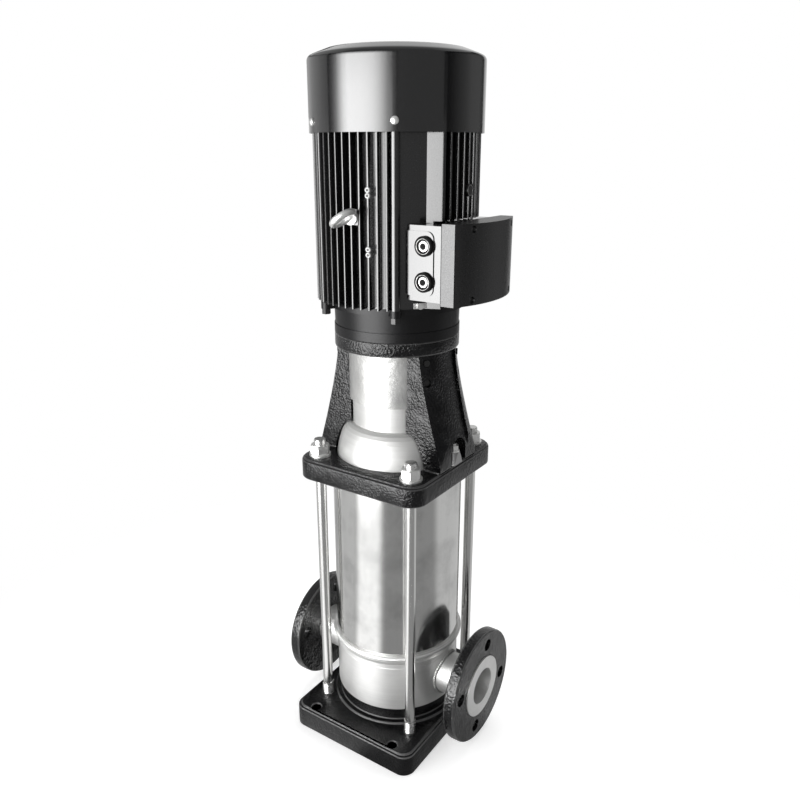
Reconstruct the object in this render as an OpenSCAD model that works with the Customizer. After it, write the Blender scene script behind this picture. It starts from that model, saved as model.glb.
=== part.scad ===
// Vertical in-line multistage pump with a flange-mounted, fan-cooled motor.
// Millimetres. +Z is up and the origin lies under the middle of the base plate.
// +X runs out of the discharge port, and the terminal box sits on that side.

/* [Base plate] */
// Length of the base plate along the ports
base_x = 208; // [196:1:230]
// Width of the base plate across the ports
base_y = 258; // [250:1:290]
// Height of the base plate's top face
base_t = 34; // [30:1:44]
// Radius of the base plate's upright corners
base_corner_r = 18; // [12:1:28]
// Width of the narrow step that runs round the top edge
base_step = 4; // [2:0.5:7]
// Spacing of the anchor holes along the ports
anchor_dx = 139; // [130:1:150]
// Spacing of the anchor holes across the ports
anchor_dy = 232; // [222:1:240]
// Diameter of the anchor holes
anchor_d = 14; // [12:1:16]
// Height of the round pedestal that lifts the casing
pedestal_h = 20; // [14:1:30]

/* [Ports] */
// Height of the port axis above the ground
port_z = 92.5; // [90:0.5:100]
// Distance between the two port faces
face_to_face = 300; // [280:1:330]
// Bore of the ports
port_d = 53.4; // [48:0.2:54]
// Outside diameter of the stub pipe behind a port
neck_d = 60.3; // [58:0.1:64]
// Diameter of the raised face on the stub end
collar_d = 89; // [84:1:96]
// Thickness of the stub end
collar_t = 8; // [6:1:10]
// Outside diameter of the loose flange
flange_d = 165; // [155:1:170]
// Thickness of the loose flange
flange_t = 17; // [14:1:20]
// Bolt circle of the loose flange
bolt_circle_d = 125; // [120:1:130]
// Diameter of the flange bolt holes
bolt_hole_d = 18; // [14:1:20]
// Number of flange bolt holes
bolt_holes = 4; // [4:4:8]
// Turn of both loose flanges about their necks as delivered, with their bolt holes in line
flange_turn = -13.6; // [-45:0.1:45]

/* [Casing and sleeve] */
// Outside diameter of the stainless casing
casing_d = 183; // [176:1:186]
// Wall of the casing
casing_wall = 5; // [4:0.5:6]
// Height of the casing from its foot to the top of its rim
casing_h = 93; // [88:1:110]
// Outside diameter of the rolled rim on the casing
rim_bead_d = 195; // [192:1:200]
// Outside diameter of the outer sleeve
sleeve_d = 184; // [180:1:186]
// Wall of the outer sleeve
sleeve_wall = 2; // [1.5:0.5:3]
// Length of sleeve seen between the casing rim and the stool
sleeve_show = 252.5; // [246:0.5:300]

/* [Stages] */
// Number of pump stages
stages = 5; // [3:1:5]
// Height of one stage
stage_h = 45; // [40:1:46]
// Outside diameter of the stage chambers
chamber_d = 152; // [146:1:158]
// Outside diameter of the impellers
impeller_d = 124; // [110:1:128]
// Diameter of the impeller eye
eye_d = 55; // [48:1:56]
// Number of blades in an impeller
blades = 6; // [4:1:8]
// Diameter of the pump shaft
shaft_d = 18; // [16:1:20]

/* [Motor stool] */
// Length of the stool plate along the ports
plate_x = 202; // [198:1:220]
// Width of the stool plate across the ports
plate_y = 211; // [206:1:230]
// Thickness of the stool plate
plate_t = 29.5; // [26:0.5:36]
// Radius of the stool plate's upright corners
plate_corner_r = 26; // [14:1:30]
// Height of the stool from its underside to the motor joint
stool_h = 203.5; // [200:0.5:230]
// Diameter of the stool's top rim
top_rim_d = 168; // [164:1:172]
// Height of the stool's top rim
top_rim_h = 19; // [14:1:24]
// Diameter over the flared ribs at the plate
rib_foot_d = 226; // [214:1:232]
// Distance from the middle plane to the outer face of a rib
rib_y = 46.5; // [42:0.5:60]
// Thickness of a rib
rib_t = 21; // [16:0.5:24]
// Depth of the recess between the ribs of a side wall
web_recess = 4; // [2:0.5:8]
// Diameter of the stool wall at its top rim
stool_wall_d = 160; // [154:1:164]

/* [Tie rods] */
// Spacing of the tie rods along the ports
rod_dx = 151.5; // [148:0.5:156]
// Spacing of the tie rods across the ports
rod_dy = 159.5; // [154:0.5:166]
// Thread diameter of the tie rods
rod_thread_d = 16; // [14:1:16]
// Diameter of the plain part of a tie rod
rod_shank_d = 14.7; // [12:0.1:15]
// Width across the flats of the tie rod nuts
nut_af = 24; // [22:1:26]
// Height of the tie rod nuts
nut_h = 13; // [10:1:16]

/* [Pump head] */
// Diameter of the polished dome at the stool plate
dome_d = 170; // [164:1:172]
// Diameter of the neck above the dome
head_neck_d = 124; // [118:1:126]
// Height of the dome above the stool plate
dome_h = 46; // [38:1:52]
// Height of the neck's top above the stool plate
head_neck_h = 80; // [74:1:86]
// Wall of the pump head
head_wall = 6; // [4:0.5:8]

/* [Coupling and guards] */
// Diameter of the coupling halves
coupling_d = 60; // [54:1:64]
// Length of the coupling
coupling_l = 62; // [56:1:66]
// Diameter over the coupling guards
guard_d = 132; // [128:1:134]
// Thickness of the guard sheet
guard_t = 1.2; // [0.8:0.1:2]

/* [Motor] */
// Height of the plain end shield between the stool and the fins
drive_shield_h = 45; // [40:1:52]
// Length of the finned frame
frame_h = 218; // [200:1:240]
// Diameter at the foot of the cooling fins
frame_root_d = 182; // [178:1:188]
// Diameter over the cooling fins
fin_tip_d = 210.8; // [204:0.2:214]
// Thickness of a cooling fin at its foot
fin_foot_t = 4; // [3:0.2:4.6]
// Thickness of a cooling fin at its tip
fin_tip_t = 2.4; // [1.8:0.2:3]
// Number of places for cooling fins round the frame
fin_places = 58; // [46:4:58]
// Diameter over the plain pads beside the terminal box
pad_d = 186; // [184:1:196]
// Angle from the terminal box to the shoulder that ends a plain pad
pad_from = 25; // [22:0.5:32]
// Angle from the terminal box to the far edge of a plain pad
pad_to = 56.5; // [50:0.5:58]
// Diameter of the motor shaft at the coupling
motor_shaft_d = 28; // [24:1:28]

/* [Fan and cowl] */
// Diameter of the fan cowl
cowl_d = 218.4; // [216:0.2:224]
// Height of the fan cowl
cowl_h = 94.5; // [90:0.5:110]
// Height by which the cowl laps over the fins
cowl_lap = 13.5; // [11:0.5:20]
// Radius of the cowl's top edge
cowl_edge_r = 22; // [6:0.5:24]
// Thickness of the cowl sheet
cowl_t = 1.5; // [1:0.1:2.5]
// Number of slots in one ring of the air grille
grille_slots = 12; // [8:1:16]
// Diameter of the fan
fan_d = 170; // [150:1:190]
// Number of fan blades
fan_blades = 7; // [5:1:9]

/* [Terminal box] */
// Width of the terminal box
box_w = 147; // [140:1:152]
// Height of the terminal box
box_h = 95; // [90:1:100]
// Height of the middle of the terminal box above the motor joint
box_mid_z = 102.5; // [98:0.5:120]
// Distance from the motor axis to the joint between base and cover
box_joint_x = 110.5; // [108:0.5:114]
// Distance from the motor axis to the front of the bowed cover
box_front_x = 147.3; // [144:0.1:149]
// Radius of the bowed front of the cover
box_bow_r = 158.5; // [150:0.5:400]
// Thickness of the box walls
box_wall = 3.5; // [2.5:0.5:5]
// Diameter of the cable entry plugs
entry_d = 24; // [20:1:28]
// Spacing of the two cable entries
entry_pitch = 42; // [36:1:46]

/* [Fits] */
// Gap between pieces that are fastened together
seat_gap = 0.1; // [0.05:0.05:0.2]
// Gap round a shaft that turns
run_gap = 0.06; // [0.03:0.01:0.1]
// Gap round a loose piece
loose_gap = 0.4; // [0.3:0.1:0.6]

/* [Hidden] */
$fn = 96;
eps = 0.01;

seat_step_h = 3;
casing_z = base_t + seat_step_h + pedestal_h;
casing_r = casing_d / 2;
seat_r = casing_r + 4.5;
lip_z = casing_z + casing_h;
lip_h = 9;
sleeve_r = sleeve_d / 2;
sleeve_seat = 8;
seal_wire_r = 1.5;
ring_room = 2 * seal_wire_r;
stool_z = lip_z + sleeve_show;
plate_z = stool_z + plate_t;
joint_z = stool_z + stool_h;
rim_z = joint_z - top_rim_h;

port_r = port_d / 2;
neck_r = neck_d / 2;
face_x = face_to_face / 2;
flange_x = face_x - 1.5 - flange_t;

drain_r = 8;
drain_up = 22;
drain_boss_t = 4;

bowl_r = 62;
bowl_wall = 4;
bowl_h = port_z - casing_z + neck_r + 10;
stack_z = casing_z + bowl_h;
chamber_r = chamber_d / 2;
eye_r = eye_d / 2;
eye_lip = 2.5;
shaft_r = shaft_d / 2;
hub_r = shaft_r + 5;
stack_top = stack_z + stages * stage_h;
cage_r = chamber_r - 4;

head_flange_t = 9;
head_z = stool_z + 6;
head_r = sleeve_r + 3.4;
dome_r = dome_d / 2;
head_neck_r = head_neck_d / 2;
head_top = plate_z + head_neck_h;
seal_bore_r = 24;
gland_t = 8;
gland_screw_r = 34;

coupling_z = head_top + gland_t + 5;
coupling_r = coupling_d / 2;
pin_up = 7;
shaft_top = coupling_z + coupling_l / 2 - 2;
guard_r = guard_d / 2;
motor_bolt_head_r = 6.5;
motor_bolt_shank_r = 4;
motor_bolt_r = guard_r - guard_t - motor_bolt_head_r - 1.3;
spigot_land = 2.7;
spigot_r = motor_bolt_r - motor_bolt_shank_r - spigot_land;
guard_z = plate_z + head_neck_h + 1;

frame_z = joint_z + drive_shield_h;
frame_top = frame_z + frame_h;
frame_r = frame_root_d / 2;
fin_r = fin_tip_d / 2;
pad_r = pad_d / 2;
stator_r = frame_r - 9;
stator_bore_r = 52;
rotor_r = 51.5;
core_h = 150;
core_z = frame_z + 27;
winding_h = 20;
lug_angles = [-57, -123, 57, 123];
lug_r = 99;

bearing_z = [joint_z + 14, frame_top - 15];
bearing_h = 16;
bearing_bore_r = 15;
bearing_outer_r = 31;
ball_r = 4.75;
balls = 9;
shaft_end_z = frame_top + 52;

cowl_z = frame_top - cowl_lap;
cowl_top = cowl_z + cowl_h;
cowl_r = cowl_d / 2;
fan_z = frame_top + 14;
fan_h = 34;

box_z = joint_z + box_mid_z;
box_edge_x = box_front_x - box_bow_r + sqrt(box_bow_r * box_bow_r - box_w * box_w / 4);

module ring(ro, ri, h) {
    difference() {
        cylinder(h = h, r = ro);
        translate([0, 0, -1]) cylinder(h = h + 2, r = ri);
    }
}

module disc_on_x(r, h) {
    rotate([0, 90, 0]) cylinder(h = h, r = r);
}

module disc_on_y(r, h) {
    rotate([90, 0, 0]) cylinder(h = h, r = r);
}

module hexagon(af, h) {
    cylinder(h = h, r = af / 2 / cos(30), $fn = 6);
}

module four_corners(dx, dy) {
    for (sx = [-1, 1], sy = [-1, 1]) translate([sx * dx / 2, sy * dy / 2, 0]) children();
}

// A rectangle with round corners, drawn from plain shapes so that every edge stays a true arc
module round_rect(x, y, r) {
    square([x - 2 * r, y], center = true);
    square([x, y - 2 * r], center = true);
    four_corners(x - 2 * r, y - 2 * r) circle(r = r);
}

module slab(x, y, h, r) {
    linear_extrude(height = h) round_rect(x, y, r);
}

// A flat sector that reaches past radius r between two angles
module wedge(r, a0, a1) {
    polygon([[0, 0],
        for (i = [0:4]) (r * 1.3) * [cos(a0 + (a1 - a0) * i / 4), sin(a0 + (a1 - a0) * i / 4)]]);
}

module base_plate() color([0.10, 0.10, 0.11]) {
    web_t = 14;
    pocket_x = (base_x - 3 * web_t) / 2;
    pocket_y = (base_y - 3 * web_t) / 2;
    pocket_depth = 18;
    difference() {
        union() {
            slab(base_x, base_y, base_t - 3, base_corner_r);
            slab(base_x - 2 * base_step, base_y - 2 * base_step, base_t, base_corner_r - base_step / 2);
            cylinder(h = base_t + seat_step_h, r = seat_r);
            cylinder(h = casing_z, r = casing_r - 3);
        }
        difference() {
            four_corners(pocket_x + web_t, pocket_y + web_t)
                translate([0, 0, -1]) slab(pocket_x, pocket_y, pocket_depth + 1, 10);
            cylinder(h = base_t, r = casing_r - 22);
            four_corners(anchor_dx, anchor_dy) cylinder(h = base_t, r = anchor_d / 2 + 9);
            four_corners(rod_dx, rod_dy) cylinder(h = base_t, r = rod_thread_d / 2 + 6);
        }
        four_corners(anchor_dx, anchor_dy)
            translate([0, 0, -1]) cylinder(h = base_t + 2, r = anchor_d / 2);
        four_corners(rod_dx, rod_dy)
            translate([0, 0, base_t - 24]) cylinder(h = 30, r = rod_thread_d / 2 + seat_gap);
    }
}

// Inside the casing a bowl leads the suction to the first impeller, and the space round the bowl
// and the stages leads the delivered water down to the discharge port.
casing_floor = 6;
module pump_casing() color([0.86, 0.86, 0.85]) translate([0, 0, casing_z])
    difference() {
        union() {
            cylinder(h = casing_h - lip_h, r = casing_r);
            translate([0, 0, casing_h - lip_h]) rolled_rim();
            translate([0, casing_r + drain_boss_t, drain_up]) disc_on_y(drain_r + 4, 8);
        }
        difference() {
            translate([0, 0, casing_floor]) cylinder(h = casing_h, r = casing_r - casing_wall);
            cylinder(h = bowl_h, r = bowl_r);
            translate([0, 0, bowl_h - bowl_wall]) cylinder(h = bowl_wall, r = chamber_r);
        }
        translate([0, 0, casing_h - sleeve_seat - ring_room])
            cylinder(h = casing_h, r = sleeve_r + seat_gap);
        translate([0, 0, casing_floor])
            cylinder(h = bowl_h - casing_floor - bowl_wall, r = bowl_r - bowl_wall);
        translate([0, 0, bowl_h - bowl_wall - 1]) cylinder(h = 10, r = eye_r + eye_lip + loose_gap);
        translate([-face_x, 0, port_z - casing_z]) disc_on_x(neck_r + seat_gap, face_x);
        translate([bowl_r + 1, 0, port_z - casing_z]) disc_on_x(neck_r + seat_gap, face_x);
        translate([0, casing_r + 5, drain_up]) disc_on_y(drain_r + seat_gap, 20);
    }

// A pipe with a raised face, welded through the casing wall
module stub_end(reach_in) {
    translate([reach_in, 0, port_z]) difference() {
        union() {
            disc_on_x(neck_r, face_x - reach_in);
            translate([face_x - reach_in - collar_t, 0, 0]) disc_on_x(collar_d / 2, collar_t);
        }
        translate([-1, 0, 0]) disc_on_x(port_r, face_x);
    }
}

// The suction pipe crosses the delivery space and ends inside the bowl
suction_in_x = bowl_r - bowl_wall - 2;
module suction_stub() color([0.80, 0.80, 0.79]) mirror([1, 0, 0]) stub_end(suction_in_x);

// The discharge pipe ends flush with the inside of the casing wall
discharge_in_x = floor(sqrt(pow(casing_r - casing_wall, 2) - pow(neck_r, 2)));
module discharge_stub() color([0.80, 0.80, 0.79]) stub_end(discharge_in_x);

module rolled_rim() {
    bead = rim_bead_d / 2 - casing_r;
    rotate_extrude() difference() {
        union() {
            square([rim_bead_d / 2 - 2, lip_h]);
            translate([rim_bead_d / 2 - lip_h / 2 + 1, lip_h / 2]) circle(r = lip_h / 2 - 1);
            polygon([[casing_r - 1, -bead - 1], [casing_r, -bead - 1],
                [rim_bead_d / 2 - 2, 1], [casing_r - 1, 1]]);
        }
        translate([-20, -20]) square([20, 60]);
    }
}

module drain_plug() color([0.75, 0.75, 0.74])
    translate([0, casing_r + drain_boss_t, casing_z + drain_up]) {
        translate([0, 1, 0]) disc_on_y(drain_r, 9);
        translate([0, 4, 0]) disc_on_y(drain_r + 3.5, 4);
        translate([0, 11, 0]) rotate([90, 0, 0]) hexagon(14, 8);
    }

// The flange turns on the stub pipe, and its counterbore catches the stub end
module loose_flange() {
    difference() {
        rotate([0, 90, 0]) rotate_extrude() flange_section();
        for (i = [0:bolt_holes - 1]) rotate([i * 360 / bolt_holes, 0, 0])
            translate([-1, 0, bolt_circle_d / 2]) disc_on_x(bolt_hole_d / 2, flange_t + 2);
    }
}

module flange_section() {
    chamfer = 1.5;
    inner = neck_r + loose_gap;
    well = collar_d / 2 + loose_gap;
    outer = flange_d / 2;
    floor_x = flange_t + 1.5 - collar_t - loose_gap;
    polygon([[inner, 0], [outer - chamfer, 0], [outer, chamfer], [outer, flange_t - chamfer],
        [outer - chamfer, flange_t], [well + 1, flange_t], [well, flange_t - 1],
        [well, floor_x], [inner, floor_x]]);
}

module discharge_flange() color([0.09, 0.09, 0.10])
    translate([flange_x, 0, port_z]) rotate([flange_turn, 0, 0]) loose_flange();

module suction_flange() color([0.09, 0.09, 0.10])
    mirror([1, 0, 0]) translate([flange_x, 0, port_z]) rotate([flange_turn, 0, 0]) loose_flange();

sleeve_z = lip_z - sleeve_seat;
sleeve_top = head_z - ring_room;
module outer_sleeve() color([0.80, 0.80, 0.79])
    translate([0, 0, sleeve_z]) ring(sleeve_r, sleeve_r - sleeve_wall, sleeve_top - sleeve_z);

module sleeve_seals() color([0.05, 0.05, 0.05])
    for (z = [sleeve_z - seal_wire_r, sleeve_top + seal_wire_r]) translate([0, 0, z])
        rotate_extrude() translate([sleeve_r - seal_wire_r, 0]) circle(r = seal_wire_r, $fn = 32);

// One stage: the cup, the eye plate on top and the return guide with its vanes
module stage_chamber() {
    guide_z = 27;
    vane_z = guide_z + 2;
    top_z = stage_h - 2;
    bush_r = shaft_r + 5;
    ring(chamber_r, chamber_r - 2, stage_h);
    translate([0, 0, top_z]) ring(chamber_r - 1, eye_r + eye_lip + loose_gap, 2);
    translate([0, 0, guide_z]) ring(chamber_r - 9, bush_r + seat_gap, 2);
    translate([0, 0, guide_z]) ring(bush_r + 5, bush_r + seat_gap, 8);
    for (i = [0:7]) rotate([0, 0, i * 45]) return_vane(vane_z - eps, top_z - vane_z + 2 * eps);
}

module return_vane(z, h) {
    vane_r = 62;
    translate([0, 0, z]) intersection() {
        translate([vane_r * 0.72, vane_r * 0.9, 0]) ring(vane_r, vane_r - 2, h);
        ring(chamber_r - 1, eye_r + eye_lip + 3, h);
        translate([0, -chamber_r, 0]) cube([chamber_r, 1.35 * chamber_r, h]);
    }
}

module stage_chambers() color([0.72, 0.72, 0.70])
    for (i = [0:stages - 1]) translate([0, 0, stack_z + i * stage_h]) stage_chamber();

// Spacer between the last stage and the pump head, open at the sides for the outgoing water
module outlet_cage() color([0.72, 0.72, 0.70]) {
    cage_h = head_z - 12 - stack_top;
    translate([0, 0, stack_top]) difference() {
        ring(cage_r, cage_r - 5, cage_h);
        for (i = [0:5]) rotate([0, 0, i * 60])
            translate([0, -14, 6]) cube([chamber_r, 28, cage_h - 12]);
    }
}

module chamber_bushes() color([0.20, 0.20, 0.21])
    for (i = [0:stages - 1]) translate([0, 0, stack_z + i * stage_h + 27])
        ring(shaft_r + 5, shaft_r + run_gap, 8);

module impeller() {
    shroud_z = 8;
    blade_h = 9;
    back_z = shroud_z + 2 + blade_h;
    translate([0, 0, -4]) ring(eye_r + eye_lip, eye_r, shroud_z + 5);
    translate([0, 0, shroud_z]) ring(impeller_d / 2, eye_r, 2);
    translate([0, 0, back_z]) ring(impeller_d / 2, shaft_r, 2);
    translate([0, 0, shroud_z]) ring(hub_r, shaft_r, back_z - shroud_z + 6);
    for (i = [0:blades - 1]) rotate([0, 0, i * 360 / blades])
        impeller_blade(shroud_z + 2 - eps, blade_h + 2 * eps);
}

// A blade is a curved strip cut from a thin cylinder that leans back against the turn
module impeller_blade(z, h) {
    sweep_r = impeller_d * 0.36;
    translate([0, 0, z]) intersection() {
        translate([0, sweep_r + 10, 0]) ring(sweep_r, sweep_r - 2, h);
        ring(impeller_d / 2 - 0.5, hub_r - 1, h);
        cube([impeller_d / 2, impeller_d / 2, h]);
    }
}

module impellers() color([0.78, 0.78, 0.76])
    for (i = [0:stages - 1]) translate([0, 0, stack_z + i * stage_h]) impeller();

module shaft_spacers() color([0.70, 0.70, 0.69])
    for (i = [0:stages - 2]) translate([0, 0, stack_z + i * stage_h + 36])
        ring(shaft_r + 3, shaft_r, stage_h - 28);

module pump_shaft() color([0.83, 0.83, 0.82]) {
    bottom_z = stack_z + 2;
    difference() {
        translate([0, 0, bottom_z]) cylinder(h = shaft_top - bottom_z, r = shaft_r);
        translate([0, 40, coupling_z + pin_up]) disc_on_y(2.5 + seat_gap, 80, $fn = 32);
    }
}

// Outline of the polished dome: a quarter ellipse that runs into the neck
function dome_outline(off) = [for (i = [0:8]) let (a = i * 90 / 8)
    [head_neck_r + off + (dome_r - head_neck_r) * cos(a) * (1 - 0.12 * sin(2 * a)), dome_h * sin(a)]];

module head_body(off, top) {
    rotate_extrude() polygon(concat([[0, -2 * head_wall], [dome_r + off, -2 * head_wall]],
        [for (p = dome_outline(off)) [p[0], p[1] - (off < 0 ? -off : 0)]],
        [[head_neck_r + off, top], [0, top]]));
}

module pump_head() color([0.90, 0.90, 0.89]) {
    skirt_r = sleeve_r - sleeve_wall - 3.2;
    difference() {
        union() {
            translate([0, 0, plate_z]) head_body(0, head_neck_h);
            translate([0, 0, head_z]) cylinder(h = head_flange_t, r = head_r);
            translate([0, 0, head_z - 12]) cylinder(h = 13, r = skirt_r);
            translate([0, 0, head_z]) cylinder(h = plate_z - head_z, r = dome_r);
        }
        difference() {
            union() {
                translate([0, 0, plate_z]) head_body(-head_wall, head_neck_h - head_wall);
                translate([0, 0, head_z - 13]) cylinder(h = plate_z - head_z + 1, r = cage_r - 8);
            }
            translate([0, 0, head_top - 52]) cylinder(h = 52, r = gland_screw_r + 5);
        }
        translate([0, 0, head_top - 46]) cylinder(h = 60, r = seal_bore_r);
        translate([0, 0, head_top - 60]) cylinder(h = 60, r = shaft_r + 4);
        for (i = [0:3]) rotate([0, 0, i * 90 + 45])
            translate([gland_screw_r, 0, head_top - 14]) cylinder(h = 20, r = 3 + seat_gap, $fn = 48);
    }
}

module seal_gland() color([0.82, 0.82, 0.81])
    translate([0, 0, head_top]) difference() {
        union() {
            cylinder(h = gland_t, r = 42);
            translate([0, 0, -10]) cylinder(h = 11, r = seal_bore_r - seat_gap);
        }
        translate([0, 0, -12]) cylinder(h = 8, r = 17);
        translate([0, 0, -12]) cylinder(h = 30, r = shaft_r + 2.5);
        for (i = [0:3]) rotate([0, 0, i * 90 + 45])
            translate([gland_screw_r, 0, -1]) cylinder(h = 20, r = 3 + seat_gap, $fn = 48);
    }

module gland_screws() color([0.75, 0.75, 0.74])
    for (i = [0:3]) rotate([0, 0, i * 90 + 45]) translate([gland_screw_r, 0, head_top]) {
        translate([0, 0, -12]) cylinder(h = gland_t + 12, r = 3, $fn = 48);
        translate([0, 0, gland_t]) cylinder(h = 3.5, r = 5, $fn = 48);
    }

module seal_stationary() color([0.30, 0.30, 0.31])
    translate([0, 0, head_top - 12]) ring(17 - seat_gap, shaft_r + 1, 8);

module seal_rotary() color([0.55, 0.55, 0.54]) {
    face_z = head_top - 12 - run_gap;
    translate([0, 0, face_z - 6]) ring(16, shaft_r, 6);
    translate([0, 0, face_z - 28]) bellows();
    translate([0, 0, face_z - 32]) ring(16, shaft_r, 4);
}

module bellows() {
    folds = 5;
    pitch = 22 / folds;
    rotate_extrude() difference() {
        translate([shaft_r, 0]) square([6.5, 22]);
        for (i = [0:folds - 1]) translate([shaft_r + 7.2, (i + 0.5) * pitch]) circle(r = 1.7, $fn = 32);
    }
}

module tie_rods() color([0.84, 0.84, 0.83]) {
    thread_len = 20;
    bottom_z = base_t - 22;
    top_z = plate_z + 3 + nut_h + 8;
    four_corners(rod_dx, rod_dy) {
        translate([0, 0, bottom_z]) cylinder(h = base_t - bottom_z + thread_len, r = rod_thread_d / 2);
        translate([0, 0, bottom_z + 1]) cylinder(h = top_z - bottom_z - 1, r = rod_shank_d / 2);
        translate([0, 0, stool_z + 4]) cylinder(h = top_z - stool_z - 5, r = rod_thread_d / 2);
        translate([0, 0, top_z - 1]) cylinder(h = 1, r1 = rod_thread_d / 2, r2 = rod_thread_d / 2 - 1);
    }
}

module rod_washers() color([0.80, 0.80, 0.79])
    four_corners(rod_dx, rod_dy)
        translate([0, 0, plate_z]) ring(nut_af / 2 + 3, rod_thread_d / 2 + loose_gap, 3);

module rod_nuts() color([0.86, 0.86, 0.85])
    four_corners(rod_dx, rod_dy) translate([0, 0, plate_z + 3]) difference() {
        intersection() {
            hexagon(nut_af, nut_h);
            rotate_extrude() polygon([[0, 0], [nut_af / 2, 0], [nut_af / 2 + 1.9, 1.2],
                [nut_af / 2 + 1.9, nut_h - 1.2], [nut_af / 2, nut_h], [0, nut_h]]);
        }
        translate([0, 0, -1]) cylinder(h = nut_h + 2, r = rod_thread_d / 2 + seat_gap);
    }

// Radius of the flared side walls at a height above the stool plate
flare_h = rim_z - plate_z;
function flare_r(z) = stool_wall_d / 2 + (rib_foot_d / 2 - stool_wall_d / 2) * pow(1 - z / flare_h, 1.35);
function flare_line(off) = [for (i = [0:8]) [flare_r(i * flare_h / 8) - off, i * flare_h / 8]];

module stool_wall(off) {
    rotate_extrude() polygon(concat([[0, 0]], flare_line(off), [[0, flare_h]]));
}

// The bell-shaped hollow that clears the pump head and the guards
module stool_hollow() {
    clear = 3;
    inner_r = guard_r + seat_gap;
    step_z = head_neck_h + seat_gap;
    rotate_extrude() polygon(concat([[0, -1], [dome_r + clear, -1]],
        [for (p = dome_outline(clear)) p],
        [[head_neck_r + clear, step_z], [inner_r, step_z], [inner_r, flare_h + 1], [0, flare_h + 1]]));
}

module stool_side_walls() {
    difference() {
        union() {
            intersection() {
                stool_wall(0);
                for (s = [-1, 1]) translate([-rib_foot_d / 2, s * (rib_y - rib_t / 2) - rib_t / 2, 0])
                    cube([rib_foot_d, rib_t, flare_h]);
            }
            intersection() {
                stool_wall(web_recess);
                translate([-rib_foot_d / 2, -rib_y + 1, 0]) cube([rib_foot_d, 2 * rib_y - 2, flare_h]);
            }
        }
        stool_hollow();
        for (s = [-1, 1]) vent_arch(s);
        for (s = [-1, 1]) translate([s > 0 ? plate_x / 2 - 1 : -plate_x, -plate_y, -1])
            cube([plate_x / 2 + 1, 2 * plate_y, flare_h]);
        guard_screw_places() translate([guard_seat_r, 0, -plate_z])
            disc_on_x(guard_screw_head_r + 1, rib_foot_d);
    }
}

// The motor bolts stand as close inside the guards as their heads allow, and outside the spigot
module motor_bolt_places() {
    for (i = [0:3]) rotate([0, 0, i * 90 + 45]) translate([motor_bolt_r, 0, 0]) children();
}

// Arched opening at the foot of each side wall
module vent_arch(s) {
    arch_r = 19;
    translate([s > 0 ? 40 : -140, 0, 0]) {
        translate([0, 0, 18]) disc_on_x(arch_r, 100);
        translate([0, -arch_r, -1]) cube([100, 2 * arch_r, 19]);
    }
}

module motor_stool() color([0.08, 0.08, 0.09]) {
    difference() {
        union() {
            translate([0, 0, stool_z]) slab(plate_x, plate_y, plate_t - 3, plate_corner_r);
            translate([0, 0, stool_z]) slab(plate_x - 6, plate_y - 6, plate_t, plate_corner_r - 3);
            translate([0, 0, plate_z - eps]) stool_side_walls();
            translate([0, 0, rim_z - 2 * eps]) ring(top_rim_d / 2, spigot_r, top_rim_h + 2 * eps);
        }
        translate([0, 0, stool_z - 1])
            cylinder(h = 1 + head_z - stool_z + head_flange_t + seat_gap, r = head_r + seat_gap);
        translate([0, 0, stool_z]) cylinder(h = plate_t + 1, r = dome_r + 1);
        four_corners(rod_dx, rod_dy)
            translate([0, 0, stool_z - 1]) cylinder(h = plate_t + 2, r = rod_thread_d / 2 + loose_gap);
        motor_bolt_places() translate([0, 0, rim_z - 1]) cylinder(h = top_rim_h + 2, r = motor_bolt_shank_r + seat_gap);
        guard_screw_places() translate([guard_r - 2, 0, 0])
            disc_on_x(2.5 + seat_gap, stool_wall_d / 2, $fn = 32);
        translate([vent_x, 0, plate_z - 14]) cylinder(h = 20, r = vent_shank_r + seat_gap, $fn = 48);
    }
}

vent_x = plate_x / 2 - 9;
vent_shank_r = 4;
vent_boss_h = 17;
module vent_body() color([0.55, 0.55, 0.54])
    translate([vent_x, 0, plate_z]) difference() {
        union() {
            translate([0, 0, -13]) cylinder(h = 14, r = vent_shank_r, $fn = 48);
            difference() {
                cylinder(h = vent_boss_h, r1 = 13, r2 = 8.6);
                translate([-vent_x, 0, 0]) head_body(1.5, head_neck_h);
                translate([plate_x / 2 - vent_x - 0.5, -20, -1]) cube([20, 40, 40]);
            }
        }
        translate([0, 0, vent_boss_h - 10]) cylinder(h = 20, r = 3 + run_gap, $fn = 48);
    }

module vent_plug() color([0.88, 0.88, 0.87])
    translate([vent_x, 0, plate_z + vent_boss_h]) {
        translate([0, 0, -9]) cylinder(h = 10, r = 3, $fn = 48);
        ring(8.2, 1, 2);
        translate([0, 0, 1]) hexagon(13, 8);
        translate([0, 0, 8]) cylinder(h = 3, r = 3.6, $fn = 48);
    }

// Half of a thin cylinder that closes one window of the stool, with its lower corners rounded off
module guard_sheet() {
    guard_h = rim_z - guard_z - 1.5;
    corner = 16;
    half_w = guard_r * sin(guard_screw_a + 4);
    intersection() {
        translate([0, 0, guard_z]) ring(guard_r, guard_r - guard_t, guard_h);
        union() {
            translate([-half_w, -guard_r - 10, guard_z + corner])
                cube([2 * half_w, 60, guard_h - corner]);
            translate([-half_w + corner, -guard_r - 10, guard_z])
                cube([2 * (half_w - corner), 60, guard_h]);
            for (s = [-1, 1]) translate([s * (half_w - corner), -guard_r + 50, guard_z + corner])
                disc_on_y(corner, 60);
        }
    }
}

module front_guard() color([0.91, 0.91, 0.90]) guard_with_holes();

module rear_guard() color([0.91, 0.91, 0.90]) rotate([0, 0, 180]) guard_with_holes();

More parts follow.
